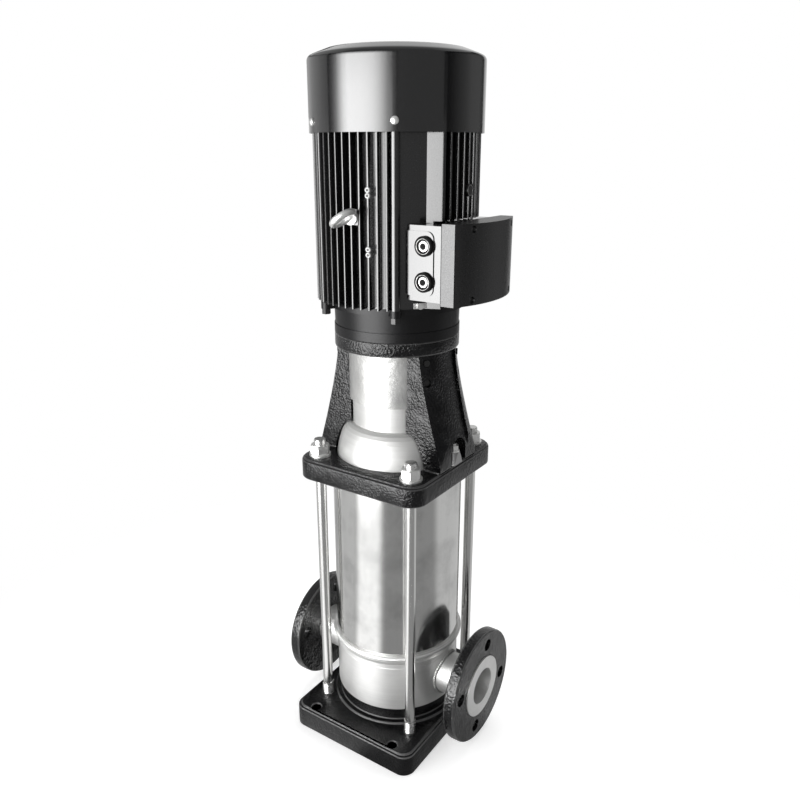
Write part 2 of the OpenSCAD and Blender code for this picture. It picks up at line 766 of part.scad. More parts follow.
// Each guard reaches round to the ribs and is held there by four screws
guard_screw_a = 62;
guard_screw_down = [36, 10];
guard_screw_z = [for (d = guard_screw_down) rim_z - d];
guard_screw_head_r = 4.2;
guard_seat_r = flare_r(guard_screw_z[1] - plate_z) - 1;
module guard_with_holes() {
    difference() {
        guard_sheet();
        guard_screw_places() translate([guard_r - 6, 0, 0]) disc_on_x(2.5 + seat_gap, 12, $fn = 32);
    }
}

module guard_screw_places() {
    for (side = [-90, 90], z = guard_screw_z, s = [-1, 1])
        rotate([0, 0, side + s * guard_screw_a]) translate([0, 0, z]) children();
}

module guard_screws() color([0.80, 0.80, 0.79])
    guard_screw_places() {
        translate([guard_r - guard_t - 1, 0, 0])
            disc_on_x(2.5, guard_seat_r - guard_r + guard_t + 1.5, $fn = 32);
        translate([guard_seat_r, 0, 0]) disc_on_x(guard_screw_head_r, 2.5, $fn = 32);
    }

module coupling_halves() color([0.45, 0.45, 0.46]) {
    split = 1.5;
    reach = coupling_d;
    bolt_seat_y = coupling_r * 0.62 - 0.2;
    difference() {
        translate([0, 0, coupling_z]) union() {
            cylinder(h = coupling_l, r = coupling_r - 3);
            cylinder(h = coupling_l / 2 - 3, r = coupling_r);
            translate([0, 0, coupling_l / 2 + 3]) cylinder(h = coupling_l / 2 - 3, r = coupling_r);
        }
        translate([0, 0, coupling_z - 1]) cylinder(h = coupling_l / 2, r = shaft_r);
        translate([0, 0, coupling_z + coupling_l / 2 - 2])
            cylinder(h = coupling_l, r = motor_shaft_d / 2);
        translate([-reach, -split / 2, coupling_z - 1]) cube([2 * reach, split, coupling_l + 2]);
        coupling_bolt_places() translate([0, reach, 0]) disc_on_y(3.5 + seat_gap, 2 * reach, $fn = 32);
        coupling_bolt_places() translate([0, -bolt_seat_y, 0]) disc_on_y(6, reach, $fn = 32);
        coupling_bolt_places() translate([0, reach + bolt_seat_y, 0]) disc_on_y(6, reach, $fn = 32);
        translate([0, reach, coupling_z + pin_up]) disc_on_y(2.5 + seat_gap, 2 * reach, $fn = 32);
    }
}

module coupling_bolt_places() {
    for (sx = [-1, 1], z = [0.27, 0.77])
        translate([sx * (motor_shaft_d / 2 + coupling_r - 1) / 2, 0, coupling_z + z * coupling_l])
            children();
}

module coupling_bolts() color([0.30, 0.30, 0.31])
    coupling_bolt_places() {
        translate([0, coupling_r * 0.62 + 5, 0]) disc_on_y(3.5, coupling_r * 1.24 + 5, $fn = 32);
        translate([0, -coupling_r * 0.62 + 0.2, 0]) disc_on_y(5.5, 6, $fn = 32);
        translate([0, coupling_r * 0.62 + 5, 0]) rotate([90, 0, 0]) hexagon(9.5, 5);
    }

module coupling_pin() color([0.60, 0.60, 0.60])
    translate([0, coupling_r - 4, coupling_z + pin_up]) disc_on_y(2.5, 2 * coupling_r - 8, $fn = 32);

module motor_bolts() color([0.25, 0.25, 0.26])
    motor_bolt_places() translate([0, 0, rim_z]) {
        translate([0, 0, -3]) cylinder(h = top_rim_h + 12, r = motor_bolt_shank_r);
        translate([0, 0, -8]) cylinder(h = 8 - 2 * eps, r = motor_bolt_head_r);
    }

module drive_end_shield() color([0.07, 0.07, 0.08]) {
    flange_h = 12;
    difference() {
        union() {
            translate([0, 0, joint_z]) cylinder(h = flange_h, r = top_rim_d / 2);
            translate([0, 0, joint_z + flange_h - 1])
                cylinder(h = drive_shield_h - flange_h - 5, r1 = top_rim_d / 2 - 1,
                    r2 = top_rim_d / 2 - 0.2);
            translate([0, 0, frame_z - 9]) cylinder(h = 9, r = frame_r - 1);
            translate([0, 0, joint_z - 4]) cylinder(h = 5, r = spigot_r - seat_gap);
            for (a = lug_angles) rotate([0, 0, a]) translate([lug_r, 0, frame_z - 9])
                cylinder(h = 9, r = 6.5);
            for (a = lug_angles) rotate([0, 0, a]) translate([lug_r - 16, -6.5, frame_z - 9])
                cube([16, 13, 9]);
        }
        translate([0, 0, joint_z + 38]) cylinder(h = 20, r = stator_r - 2);
        translate([0, 0, bearing_z[0]]) cylinder(h = 60, r = bearing_outer_r + seat_gap);
        translate([0, 0, joint_z - 5]) cylinder(h = 60, r = bearing_bore_r + 2);
        motor_bolt_places() translate([0, 0, joint_z - 1])
            cylinder(h = 16, r = motor_bolt_shank_r + seat_gap);
        for (a = lug_angles) rotate([0, 0, a])
            translate([lug_r, 0, frame_z - 10]) cylinder(h = 12, r = 3 + seat_gap, $fn = 48);
    }
}

module shield_bolts() color([0.50, 0.50, 0.50])
    for (a = lug_angles) rotate([0, 0, a]) translate([lug_r, 0, frame_z]) {
        translate([0, 0, -12]) cylinder(h = 32, r = 3, $fn = 48);
        translate([0, 0, -16]) hexagon(10, 7);
    }

function in_pad(a) = abs(a) > pad_from && abs(a) < pad_to;
function fin_angle(i) = let (a = (i + 0.5) * 360 / fin_places - 90) a > 180 ? a - 360 : a;

module fin_outline() {
    polygon([[frame_r - 2, -fin_foot_t / 2], [fin_r, -fin_tip_t / 2],
        [fin_r, fin_tip_t / 2], [frame_r - 2, fin_foot_t / 2]]);
}

// Solid shoulder with a flat flank, which closes the plain pad on the side of the terminal box
shoulder_rise = 10.65;
shoulder_land = 1.8;
shoulder_root = 2;
module shoulder_outline(s) {
    foot_a = s * (pad_from + shoulder_rise);
    top_a = s * pad_from;
    back_a = s * (pad_from - shoulder_land);
    root_r = frame_r - shoulder_root;
    polygon([frame_r * [cos(foot_a), sin(foot_a)], fin_r * [cos(top_a), sin(top_a)],
        fin_r * [cos(back_a), sin(back_a)], root_r * [cos(back_a), sin(back_a)],
        root_r * [cos(foot_a), sin(foot_a)]]);
}

module motor_frame() color([0.06, 0.06, 0.07]) {
    difference() {
        union() {
            translate([0, 0, frame_z]) linear_extrude(height = frame_h) {
                circle(r = frame_r);
                for (i = [0:fin_places - 1]) if (!in_pad(fin_angle(i))) rotate(fin_angle(i)) fin_outline();
                for (s = [-1, 1]) intersection() {
                    circle(r = pad_r);
                    wedge(pad_r, s * pad_from, s * pad_to);
                }
                for (s = [-1, 1]) shoulder_outline(s);
                for (a = lug_angles) rotate(a) translate([lug_r, 0]) circle(r = 6);
                for (a = lug_angles) rotate(a) translate([frame_r - 2, -4.5])
                    square([lug_r - frame_r + 2, 9]);
            }
            box_neck();
            translate([0, 0, eye_z]) rotate([0, 0, eye_angle]) translate([frame_r - 3, -9, -9])
                cube([18, 18, 18]);
            stud_places() translate([frame_r - fin_r - 2, 0, 0])
                disc_on_x(3.3, fin_r - frame_r + 2.6, $fn = 32);
            translate([frame_r - 2, 0, frame_plug_z]) disc_on_x(7.5, fin_r - frame_r + 2);
            for (a = lug_angles) rotate([0, 0, a]) {
                translate([lug_r, 0, frame_top - 6]) cylinder(h = 12, r = 6);
                translate([lug_r, 0, cowl_screw_z]) disc_on_x(5, cowl_r - cowl_t - 3 * seat_gap - lug_r);
            }
        }
        translate([0, 0, frame_z - 1]) cylinder(h = frame_h + 2, r = stator_r + seat_gap);
        box_room();
        translate([60, 0, box_z + cable_hole_up]) disc_on_x(8, 50);
        for (a = lug_angles) rotate([0, 0, a])
            translate([lug_r, 0, frame_z - 1]) cylinder(h = 24, r = 3 + seat_gap, $fn = 48);
        for (a = lug_angles) rotate([0, 0, a])
            translate([lug_r - 4, 0, cowl_screw_z]) disc_on_x(2.5 + seat_gap, 16, $fn = 32);
        stud_places() translate([-6, 0, 0]) disc_on_x(1 + seat_gap, 10, $fn = 24);
        translate([0, 0, eye_z]) rotate([0, 0, eye_angle]) translate([frame_r - 4, 0, 0])
            disc_on_x(eye_shank_r + seat_gap, 30, $fn = 48);
        translate([0, 0, frame_plug_z]) translate([frame_r - 8, 0, 0])
            disc_on_x(frame_plug_r + seat_gap, 40, $fn = 48);
        rotate([0, 0, earth_angle]) translate([pad_r - 9, 0, frame_z + 4])
            disc_on_x(2.5 + seat_gap, 20, $fn = 32);
    }
}

// Cast neck that carries the terminal box, with its bolting face square to +X
module box_neck() {
    neck_w = 66;
    neck_h = 78;
    translate([frame_r - 12, -neck_w / 2, box_z - neck_h / 2])
        cube([box_base_x - frame_r + 12, neck_w, neck_h]);
}

// The back of the box: a round hollow that clears the frame, flat in the middle where it seats
module box_back(off) {
    intersection() {
        translate([0, 0, box_z - box_h]) cylinder(h = 2 * box_h, r = box_back_r + off);
        translate([0, -box_w, box_z - box_h]) cube([box_base_x + off, 2 * box_w, 2 * box_h]);
    }
}

// The fins stop short of the box, so that it sits close to the frame
module box_room() {
    difference() {
        translate([frame_r - 40, -box_w / 2 - 2, box_z - box_h / 2]) cube([80, box_w + 4, box_h]);
        box_back(0);
    }
}

box_base_x = frame_r + 1;
box_back_r = frame_r + 7;
cable_hole_up = -29;
eye_z = joint_z + 155;
eye_angle = -86;
eye_shank_r = 4;
stud_angle = fin_angle(2);
stud_z = [joint_z + 115, joint_z + 183];
frame_plug_z = joint_z + 184;
frame_plug_r = 4;
earth_angle = -38.5;
cowl_screw_z = cowl_z + 12;

module fan_end_shield() color([0.07, 0.07, 0.08]) {
    hub_h = 18;
    hub_z = bearing_z[1];
    difference() {
        union() {
            translate([0, 0, frame_top]) cylinder(h = 7, r = frame_r);
            translate([0, 0, frame_top - 3]) cylinder(h = 4, r = stator_r - seat_gap);
            translate([0, 0, hub_z]) cylinder(h = hub_h, r = bearing_outer_r + 8);
        }
        translate([0, 0, hub_z - 1]) cylinder(h = bearing_h + 2, r = bearing_outer_r + seat_gap);
        translate([0, 0, hub_z - 1]) cylinder(h = 60, r = 14);
    }
}

module stator_core() color([0.35, 0.35, 0.36])
    translate([0, 0, core_z]) difference() {
        cylinder(h = core_h, r = stator_r);
        translate([0, 0, -1]) cylinder(h = core_h + 2, r = stator_bore_r);
        for (i = [0:23]) rotate([0, 0, i * 15]) translate([stator_bore_r - 1, -2, -1])
            cube([17, 4, core_h + 2]);
    }

// The coil ends stand above and below the core as rounded rings
module stator_windings() color([0.55, 0.25, 0.10])
    for (z = [core_z - winding_h, core_z + core_h]) translate([0, 0, z]) rotate_extrude()
        translate([(stator_bore_r + stator_r) / 2 - 1, winding_h / 2])
            round_rect(stator_r - stator_bore_r - 14, winding_h, 5);

module motor_shaft() color([0.80, 0.80, 0.79]) {
    bottom_z = coupling_z + coupling_l / 2 + 2;
    translate([0, 0, bottom_z]) cylinder(h = bearing_z[0] - bottom_z + 1, r = motor_shaft_d / 2);
    translate([0, 0, bearing_z[0]]) cylinder(h = bearing_h + 4, r = bearing_bore_r);
    translate([0, 0, bearing_z[0] + bearing_h])
        cylinder(h = bearing_z[1] - bearing_z[0] - bearing_h, r = 18);
    translate([0, 0, bearing_z[1] - 2]) cylinder(h = 22, r = bearing_bore_r - 2.5);
    translate([0, 0, frame_top + 4]) cylinder(h = shaft_end_z - frame_top - 4, r = 12);
}

module rotor_core() color([0.42, 0.42, 0.43])
    translate([0, 0, core_z]) {
        ring(rotor_r, 18, core_h);
        for (z = [-10, core_h]) translate([0, 0, z]) ring(rotor_r - 4, 30, 10);
    }

bearing_spots = [[bearing_z[0], bearing_bore_r], [bearing_z[1], bearing_bore_r - 2.5]];
race_mid_r = (bearing_bore_r + bearing_outer_r) / 2;

module bearing_outer_rings() color([0.75, 0.75, 0.76])
    for (b = bearing_spots) translate([0, 0, b[0]]) rotate_extrude() difference() {
        translate([race_mid_r + 2.8, 0]) square([bearing_outer_r - race_mid_r - 2.8, bearing_h]);
        translate([race_mid_r, bearing_h / 2]) circle(r = ball_r + run_gap, $fn = 48);
    }

module bearing_inner_rings() color([0.75, 0.75, 0.76])
    for (b = bearing_spots) translate([0, 0, b[0]]) rotate_extrude() difference() {
        translate([b[1], 0]) square([race_mid_r - 2.8 - b[1], bearing_h]);
        translate([race_mid_r, bearing_h / 2]) circle(r = ball_r + run_gap, $fn = 48);
    }

module bearing_balls() color([0.85, 0.85, 0.86])
    for (b = bearing_spots, i = [0:balls - 1]) rotate([0, 0, i * 360 / balls])
        translate([race_mid_r, 0, b[0] + bearing_h / 2]) sphere(r = ball_r, $fn = 32);

module cooling_fan() color([0.12, 0.12, 0.13])
    translate([0, 0, fan_z]) {
        ring(20, 12, fan_h);
        ring(fan_d / 2, 19, 2.5);
        for (i = [0:fan_blades - 1]) rotate([0, 0, i * 360 / fan_blades])
            translate([19, -1.25, 1]) cube([fan_d / 2 - 20, 2.5, fan_h - 2]);
    }

module fan_clip() color([0.70, 0.70, 0.70])
    translate([0, 0, fan_z + fan_h]) ring(16, 12, 1.5);

module fan_cowl() color([0.09, 0.09, 0.10]) {
    top_in = cowl_h - cowl_t;
    difference() {
        translate([0, 0, cowl_z]) rotate_extrude() difference() {
            union() {
                square([cowl_r, cowl_h - cowl_edge_r]);
                square([cowl_r - cowl_edge_r, cowl_h]);
                translate([cowl_r - cowl_edge_r, cowl_h - cowl_edge_r]) circle(r = cowl_edge_r);
            }
            translate([0, -1]) square([cowl_r - cowl_t, cowl_h - cowl_edge_r + 1]);
            translate([0, -1]) square([cowl_r - cowl_edge_r, top_in + 1]);
            translate([cowl_r - cowl_edge_r, cowl_h - cowl_edge_r]) circle(r = cowl_edge_r - cowl_t);
            translate([-cowl_r, -cowl_r]) square([cowl_r, 3 * cowl_r]);
        }
        translate([0, 0, cowl_top - 5]) linear_extrude(height = 10) grille_holes();
        for (a = lug_angles) rotate([0, 0, a])
            translate([cowl_r - 8, 0, cowl_screw_z]) disc_on_x(2.5 + seat_gap, 12, $fn = 32);
    }
}

// Rings of arc slots between plain spokes
module grille_holes() {
    rings = 4;
    slot = 8;
    web = 8;
    for (k = [0:rings - 1]) {
        r0 = 22 + k * (slot + web);
        difference() {
            circle(r = r0 + slot);
            circle(r = r0);
            for (i = [0:grille_slots - 1]) rotate(i * 360 / grille_slots) translate([0, -2.5])
                square([cowl_r, 5]);
        }
    }
}

module cowl_screws() color([0.85, 0.85, 0.84])
    for (a = lug_angles) rotate([0, 0, a]) {
        translate([lug_r - 3, 0, cowl_screw_z]) disc_on_x(2.5, cowl_r - lug_r + 4, $fn = 32);
        translate([cowl_r, 0, cowl_screw_z]) rotate([0, 90, 0]) rotate_extrude()
            intersection() {
                translate([0, -3]) circle(r = 6.5);
                square([4.6, 4]);
            }
    }

module lifting_eye() color([0.88, 0.88, 0.87])
    translate([0, 0, eye_z]) rotate([0, 0, eye_angle]) {
        translate([frame_r - 2, 0, 0]) disc_on_x(eye_shank_r, fin_r - frame_r + 6, $fn = 48);
        translate([frame_r + 15, 0, 0]) disc_on_x(9, 3.5);
        translate([eye_mid_x, 0, 0]) rotate([eye_tilt, 0, 0])
            rotate_extrude() translate([eye_ring_r, 0]) circle(r = eye_wire_r, $fn = 32);
    }

eye_ring_r = 13.5;
eye_wire_r = 4;
eye_mid_x = frame_r + 19.5 + eye_ring_r;
eye_tilt = 35;

stud_pair = 6.4;
module stud_places() {
    for (z = stud_z, s = [-1, 1]) rotate([0, 0, stud_angle])
        translate([fin_r, 0, z + s * stud_pair / 2]) children();
}

module plate_studs() color([0.80, 0.80, 0.79])
    stud_places() {
        translate([-5, 0, 0]) disc_on_x(1, 5.7, $fn = 24);
        translate([0.6, 0, 0]) disc_on_x(2.1, 0.9, $fn = 24);
    }

module frame_plug() color([0.25, 0.25, 0.26])
    translate([fin_r, 0, frame_plug_z]) {
        translate([-fin_r + frame_r - 6, 0, 0]) disc_on_x(frame_plug_r, fin_r - frame_r + 7, $fn = 48);
        disc_on_x(6.5, 1.5, $fn = 48);
    }

module earth_lug() color([0.85, 0.85, 0.84])
    rotate([0, 0, earth_angle]) translate([pad_r, 0, frame_z + 4]) {
        translate([-8, 0, 0]) disc_on_x(2.5, 10, $fn = 32);
        translate([0, -8, -3.5]) cube([1.5, 16, 7]);
        translate([1.5, 0, 0]) disc_on_x(4, 3, $fn = 32);
    }

// Outline of the box in plan, with the bowed front of the cover
module box_plan(x0, inset) {
    intersection() {
        translate([x0, -box_w / 2 + inset]) square([box_front_x - x0, box_w - 2 * inset]);
        translate([box_front_x - box_bow_r, 0]) circle(r = box_bow_r - inset, $fn = 180);
    }
}

module terminal_base() color([0.12, 0.12, 0.13]) {
    base_h = box_h - 6;
    base_w = box_w - 2;
    base_from_x = 60;
    difference() {
        union() {
            translate([base_from_x, -base_w / 2, box_z - base_h / 2])
                cube([box_joint_x - base_from_x, base_w, base_h]);
            for (s = [-1, 1]) translate([base_from_x, s > 0 ? base_w / 2 - 1 : -base_w / 2 - entry_pad_t, 0])
                entry_pad();
        }
        difference() {
            translate([base_from_x - 1, -base_w / 2 + box_wall, box_z - base_h / 2 + box_wall])
                cube([60, base_w - 2 * box_wall, base_h - 2 * box_wall]);
            box_back(box_wall);
            box_screw_places() translate([box_base_x, 0, 0]) disc_on_x(5, 30);
        }
        box_back(seat_gap);
        translate([box_base_x - 2, 0, box_z + cable_hole_up]) disc_on_x(8, 20);
        entry_places() disc_on_y(entry_d / 2 - 4 + seat_gap, 30);
        box_screw_places() translate([box_joint_x - 14, 0, 0]) disc_on_x(2 + seat_gap, 40, $fn = 32);
    }
}

// Raised pad round the two cable entries, with round corners
entry_pad_t = 1.5;
module entry_pad() {
    pad_to_x = 41;
    pad_h = 76;
    translate([0, 0, box_z]) rotate([-90, 0, 0]) linear_extrude(height = entry_pad_t + 1)
        translate([pad_to_x / 2 - 6, 0]) round_rect(pad_to_x + 12, pad_h, 9);
}

entry_x = 89;
module entry_places() {
    for (s = [-1, 1]) translate([entry_x, -box_w / 2 + 8, box_z + s * entry_pitch / 2]) children();
}

box_screw_y = 48;
box_screw_z = 43;
module box_screw_places() {
    for (sy = [-1, 1], sz = [-1, 1]) translate([0, sy * box_screw_y, box_z + sz * (box_screw_z - 2)])
        children();
}

module terminal_gasket() color([0.03, 0.03, 0.03])
    difference() {
        translate([box_joint_x, -box_w / 2 + 1.5, box_z - box_h / 2 + 3.5])
            cube([1.5, box_w - 3, box_h - 7]);
        translate([box_joint_x - 1, -box_w / 2 + 6, box_z - box_h / 2 + 13])
            cube([4, box_w - 12, box_h - 26]);
        box_screw_places() translate([box_joint_x - 1, 0, 0]) disc_on_x(2 + seat_gap, 5, $fn = 32);
    }

module terminal_cover() color([0.10, 0.10, 0.11]) {
    x0 = box_joint_x + 1.5;
    difference() {
        translate([0, 0, box_z - box_h / 2]) linear_extrude(height = box_h) box_plan(x0, 0);
        translate([0, 0, box_z - box_h / 2 + box_wall]) linear_extrude(height = box_h - 2 * box_wall)
            intersection() {
                box_plan(x0 - 1, box_wall);
                square([400, box_w - 2 * box_wall], center = true);
            }
        box_screw_places() translate([x0 - 1, 0, 0]) disc_on_x(2 + seat_gap, 60, $fn = 32);
        box_screw_places() translate([box_screw_seat_x, 0, 0]) disc_on_x(4.2, 30, $fn = 32);
    }
    difference() {
        box_screw_places() translate([x0, 0, 0]) disc_on_x(5, box_screw_seat_x - x0);
        box_screw_places() translate([x0 - 1, 0, 0]) disc_on_x(2 + seat_gap, 60, $fn = 32);
    }
}

box_screw_seat_x = box_front_x - box_bow_r + sqrt(pow(box_bow_r, 2) - pow(box_screw_y + 4, 2)) - 2.5;
module cover_screws() color([0.05, 0.05, 0.05])
    box_screw_places() {
        translate([box_joint_x - 12, 0, 0]) disc_on_x(2, box_screw_seat_x - box_joint_x + 12, $fn = 32);
        translate([box_screw_seat_x, 0, 0]) disc_on_x(4, 2, $fn = 32);
    }

module entry_plugs() color([0.04, 0.04, 0.04])
    for (s = [-1, 1]) translate([entry_x, -box_w / 2 + 1 - entry_pad_t, box_z + s * entry_pitch / 2])
        rotate([90, 0, 0]) rotate_extrude() polygon([[0, -8], [entry_d / 2 - 4, -8], [entry_d / 2 - 4, 0],
            [entry_d / 2, 0], [entry_d / 2, 3], [entry_d / 2 - 1, 4], [entry_d / 2 - 5, 4],
            [entry_d / 2 - 5, 1.5], [4, 1.5], [4, 3.5], [0, 3.5]]);

board_x = box_base_x + box_wall;
module terminal_board() color([0.30, 0.18, 0.10])
    difference() {
        translate([board_x, -34, box_z - 19]) cube([7, 68, 38]);
        terminal_places() translate([board_x - 1, 0, 0]) disc_on_x(2 + seat_gap, 12, $fn = 32);
    }

module terminal_places() {
    for (i = [-1, 0, 1], sz = [-1, 1]) translate([0, i * 22, box_z + sz * 11]) children();
}

module terminal_studs() color([0.75, 0.60, 0.25])
    terminal_places() {
        translate([board_x + 0.5, 0, 0]) disc_on_x(2, 18, $fn = 32);
        translate([board_x + 7, 0, 0]) rotate([0, 90, 0]) hexagon(7, 4);
    }

base_plate();
pump_casing();
suction_stub();
discharge_stub();
drain_plug();
suction_flange();
discharge_flange();
outer_sleeve();
sleeve_seals();
stage_chambers();
outlet_cage();
chamber_bushes();
impellers();
shaft_spacers();
pump_shaft();
pump_head();
seal_stationary();
seal_rotary();
seal_gland();
gland_screws();
tie_rods();
rod_washers();
rod_nuts();
motor_stool();
vent_body();
vent_plug();
front_guard();
rear_guard();
guard_screws();
coupling_halves();
coupling_bolts();
coupling_pin();
motor_bolts();
drive_end_shield();
shield_bolts();
motor_frame();
fan_end_shield();
stator_core();
stator_windings();
motor_shaft();
rotor_core();
bearing_outer_rings();
bearing_inner_rings();
bearing_balls();
cooling_fan();
fan_clip();
fan_cowl();
cowl_screws();
lifting_eye();
plate_studs();
frame_plug();
earth_lug();
terminal_base();
terminal_gasket();
terminal_cover();
cover_screws();
entry_plugs();
terminal_board();
terminal_studs();
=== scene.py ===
"""Looks for the vertical pump: finishes, softened castings, small turned details and a plain studio.

The CAD frame gives every solid. This file gives each one its material, rounds the edges of the castings, adds threads,
weld beads and rings that are too small for the CAD, and builds the floor, the lamps and the photograph's camera.
Lengths are in metres, apart from names that end in _MM, the edge and rim choosers, crisp_cowl and weld_bead, which
work in millimetres.
"""
import math

import bmesh
import bpy
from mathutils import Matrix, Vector


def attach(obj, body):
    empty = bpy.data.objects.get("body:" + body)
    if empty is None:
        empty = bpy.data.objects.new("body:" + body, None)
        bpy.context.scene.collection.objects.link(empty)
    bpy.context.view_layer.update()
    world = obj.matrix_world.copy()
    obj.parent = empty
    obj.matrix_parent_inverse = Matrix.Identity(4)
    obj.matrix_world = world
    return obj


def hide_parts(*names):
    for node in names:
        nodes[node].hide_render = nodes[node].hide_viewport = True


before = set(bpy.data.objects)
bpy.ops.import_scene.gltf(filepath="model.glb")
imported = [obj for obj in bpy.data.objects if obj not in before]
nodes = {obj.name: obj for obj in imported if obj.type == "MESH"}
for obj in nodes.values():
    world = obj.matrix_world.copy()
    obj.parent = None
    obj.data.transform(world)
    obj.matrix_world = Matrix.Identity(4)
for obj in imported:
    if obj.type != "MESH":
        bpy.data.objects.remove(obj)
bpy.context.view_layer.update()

MERGE_DISTANCE = 0.00002
SHARP_ANGLE = math.radians(35)
COAT_ROUGHNESS = 0.08
PORT_HEIGHT_MM = 92.5
COLOR, FLOAT, VECTOR = "NodeSocketColor", "NodeSocketFloat", "NodeSocketVector"


# Helpers for shader nodes.

def new_group(name, inputs, outputs):
    """An empty shader node group with named sockets. Sockets are (name, kind, default)."""
    group = bpy.data.node_groups.new(name, "ShaderNodeTree")
    for label, kind, default in inputs:
        socket = group.interface.new_socket(label, in_out="INPUT", socket_type=kind)
        if default is not None:
            socket.default_value = default
    for label, kind in outputs:
        group.interface.new_socket(label, in_out="OUTPUT", socket_type=kind)
    return group, group.nodes.new("NodeGroupInput"), group.nodes.new("NodeGroupOutput")


def add(tree, kind, **values):
    """A node with some sockets set by name. A key that starts with set_ is a property of the node."""
    node = tree.nodes.new(kind)
    for key, value in values.items():
        if key.startswith("set_"):
            setattr(node, key[4:], value)
        else:
            node.inputs[key.replace("_", " ")].default_value = value
    return node


def math_node(tree, operation, a, b=None, clamp=False):
    """The result of a sum on numbers or sockets, held between 0 and 1 if clamp is set."""
    node = tree.nodes.new("ShaderNodeMath")
    node.operation = operation
    node.use_clamp = clamp
    for i, value in enumerate((a, b)):
        if value is None:
            continue
        if isinstance(value, (int, float)):
            node.inputs[i].default_value = value
        else:
            tree.links.new(value, node.inputs[i])
    return node.outputs[0]


def blend_color(tree, factor, a, b):
    """A mix of two colours, each given as a colour or a socket."""
    node = tree.nodes.new("ShaderNodeMix")
    node.data_type = "RGBA"
    for socket, value in ((node.inputs["Factor"], factor), (node.inputs[6], a), (node.inputs[7], b)):
        if isinstance(value, (int, float)):
            socket.default_value = value
        elif isinstance(value, (tuple, list)):
            socket.default_value = value
        else:
            tree.links.new(value, socket)
    return node.outputs[2]


def spread(tree, value, low, high):
    """Maps 0 to 1 onto low to high; the ends may be numbers or sockets."""
    node = tree.nodes.new("ShaderNodeMapRange")
    tree.links.new(value, node.inputs["Value"])
    for label, end in (("To Min", low), ("To Max", high)):
        if isinstance(end, (int, float)):
            node.inputs[label].default_value = end
        else:
            tree.links.new(end, node.inputs[label])
    return node.outputs["Result"]


def build_cast_skin():
    """Paint over rough casting: lumps, fine pits, grey dust on the high spots, and painted highlights as pale spots and
    pale rims.

    The lumps are strong in some patches and weak in others. The rims with the painted highlight are marked by the mesh
    attribute rim.
    """
    group, gin, gout = new_group(
        "cast_skin",
        [("Paint", COLOR, (0.01, 0.01, 0.012, 1)), ("Dust And Highlight", COLOR, (0.12, 0.12, 0.12, 1)),
         ("Lump Size", FLOAT, 180.0), ("Dust Amount", FLOAT, 0.3), ("Gloss", FLOAT, 0.35),
         ("Painted Sparkles", FLOAT, 0.0), ("Rim Highlight", FLOAT, 0.0)],
        [("Color", COLOR), ("Roughness", FLOAT), ("Height", FLOAT)])
    place = add(group, "ShaderNodeTexCoord")
    lumps = add(group, "ShaderNodeTexNoise", Detail=1.0, Roughness=0.4)
    pits = add(group, "ShaderNodeTexNoise", Detail=2.0)
    group.links.new(place.outputs["Object"], lumps.inputs["Vector"])
    group.links.new(place.outputs["Object"], pits.inputs["Vector"])
    group.links.new(gin.outputs["Lump Size"], lumps.inputs["Scale"])
    group.links.new(math_node(group, "MULTIPLY", gin.outputs["Lump Size"], 4.1), pits.inputs["Scale"])
    high = spread(group, lumps.outputs["Fac"], -1.6, 2.4)
    dust_and_highlight = math_node(group, "MULTIPLY", math_node(group, "MULTIPLY", high, pits.outputs["Fac"], True),
                     gin.outputs["Dust Amount"])
    patches = add(group, "ShaderNodeTexNoise", Scale=34.0, Detail=2.0)
    specks = add(group, "ShaderNodeTexNoise", Scale=620.0, Detail=1.0)
    group.links.new(place.outputs["Object"], patches.inputs["Vector"])
    group.links.new(place.outputs["Object"], specks.inputs["Vector"])
    # Painted highlights: pale spots where the fine specks peak stand in for sparkle highlights on the paint, with more
    # of them in some patches.
    sparkle_mask = math_node(group, "ADD", specks.outputs["Fac"], math_node(group, "MULTIPLY", patches.outputs["Fac"], 0.5))
    sparkle_mask = math_node(group, "MULTIPLY", math_node(group, "SUBTRACT", sparkle_mask, 0.90), 9.0, True)
    dust_and_highlight = math_node(group, "ADD", dust_and_highlight, math_node(group, "MULTIPLY", sparkle_mask, gin.outputs["Painted Sparkles"]), True)
    # Painted highlight on the rounded rims marked by the attribute rim, which are also made smoother there.
    rim = add(group, "ShaderNodeAttribute", set_attribute_name="rim")
    rim_highlight = math_node(group, "MULTIPLY", rim.outputs["Fac"], gin.outputs["Rim Highlight"])
    dust_and_highlight = math_node(group, "ADD", dust_and_highlight, math_node(group, "MULTIPLY", rim_highlight, 0.12), True)
    # The second colour is both the real dust and the pale colour of the painted highlights.
    group.links.new(blend_color(group, dust_and_highlight, gin.outputs["Paint"], gin.outputs["Dust And Highlight"]), gout.inputs["Color"])
    rough = math_node(group, "ADD", gin.outputs["Gloss"],
                      math_node(group, "MULTIPLY", math_node(group, "SUBTRACT", pits.outputs["Fac"], 0.45), 0.3))
    rough = math_node(group, "SUBTRACT", rough, math_node(group, "MULTIPLY", rim_highlight, 0.12), True)
    group.links.new(rough, gout.inputs["Roughness"])
    height = math_node(group, "ADD", math_node(group, "MULTIPLY", lumps.outputs["Fac"], 0.9),
                       math_node(group, "MULTIPLY", pits.outputs["Fac"], 0.1))
    height = math_node(group, "MULTIPLY", height, spread(group, patches.outputs["Fac"], -0.5, 2.0))
    group.links.new(height, gout.inputs["Height"])
    return group


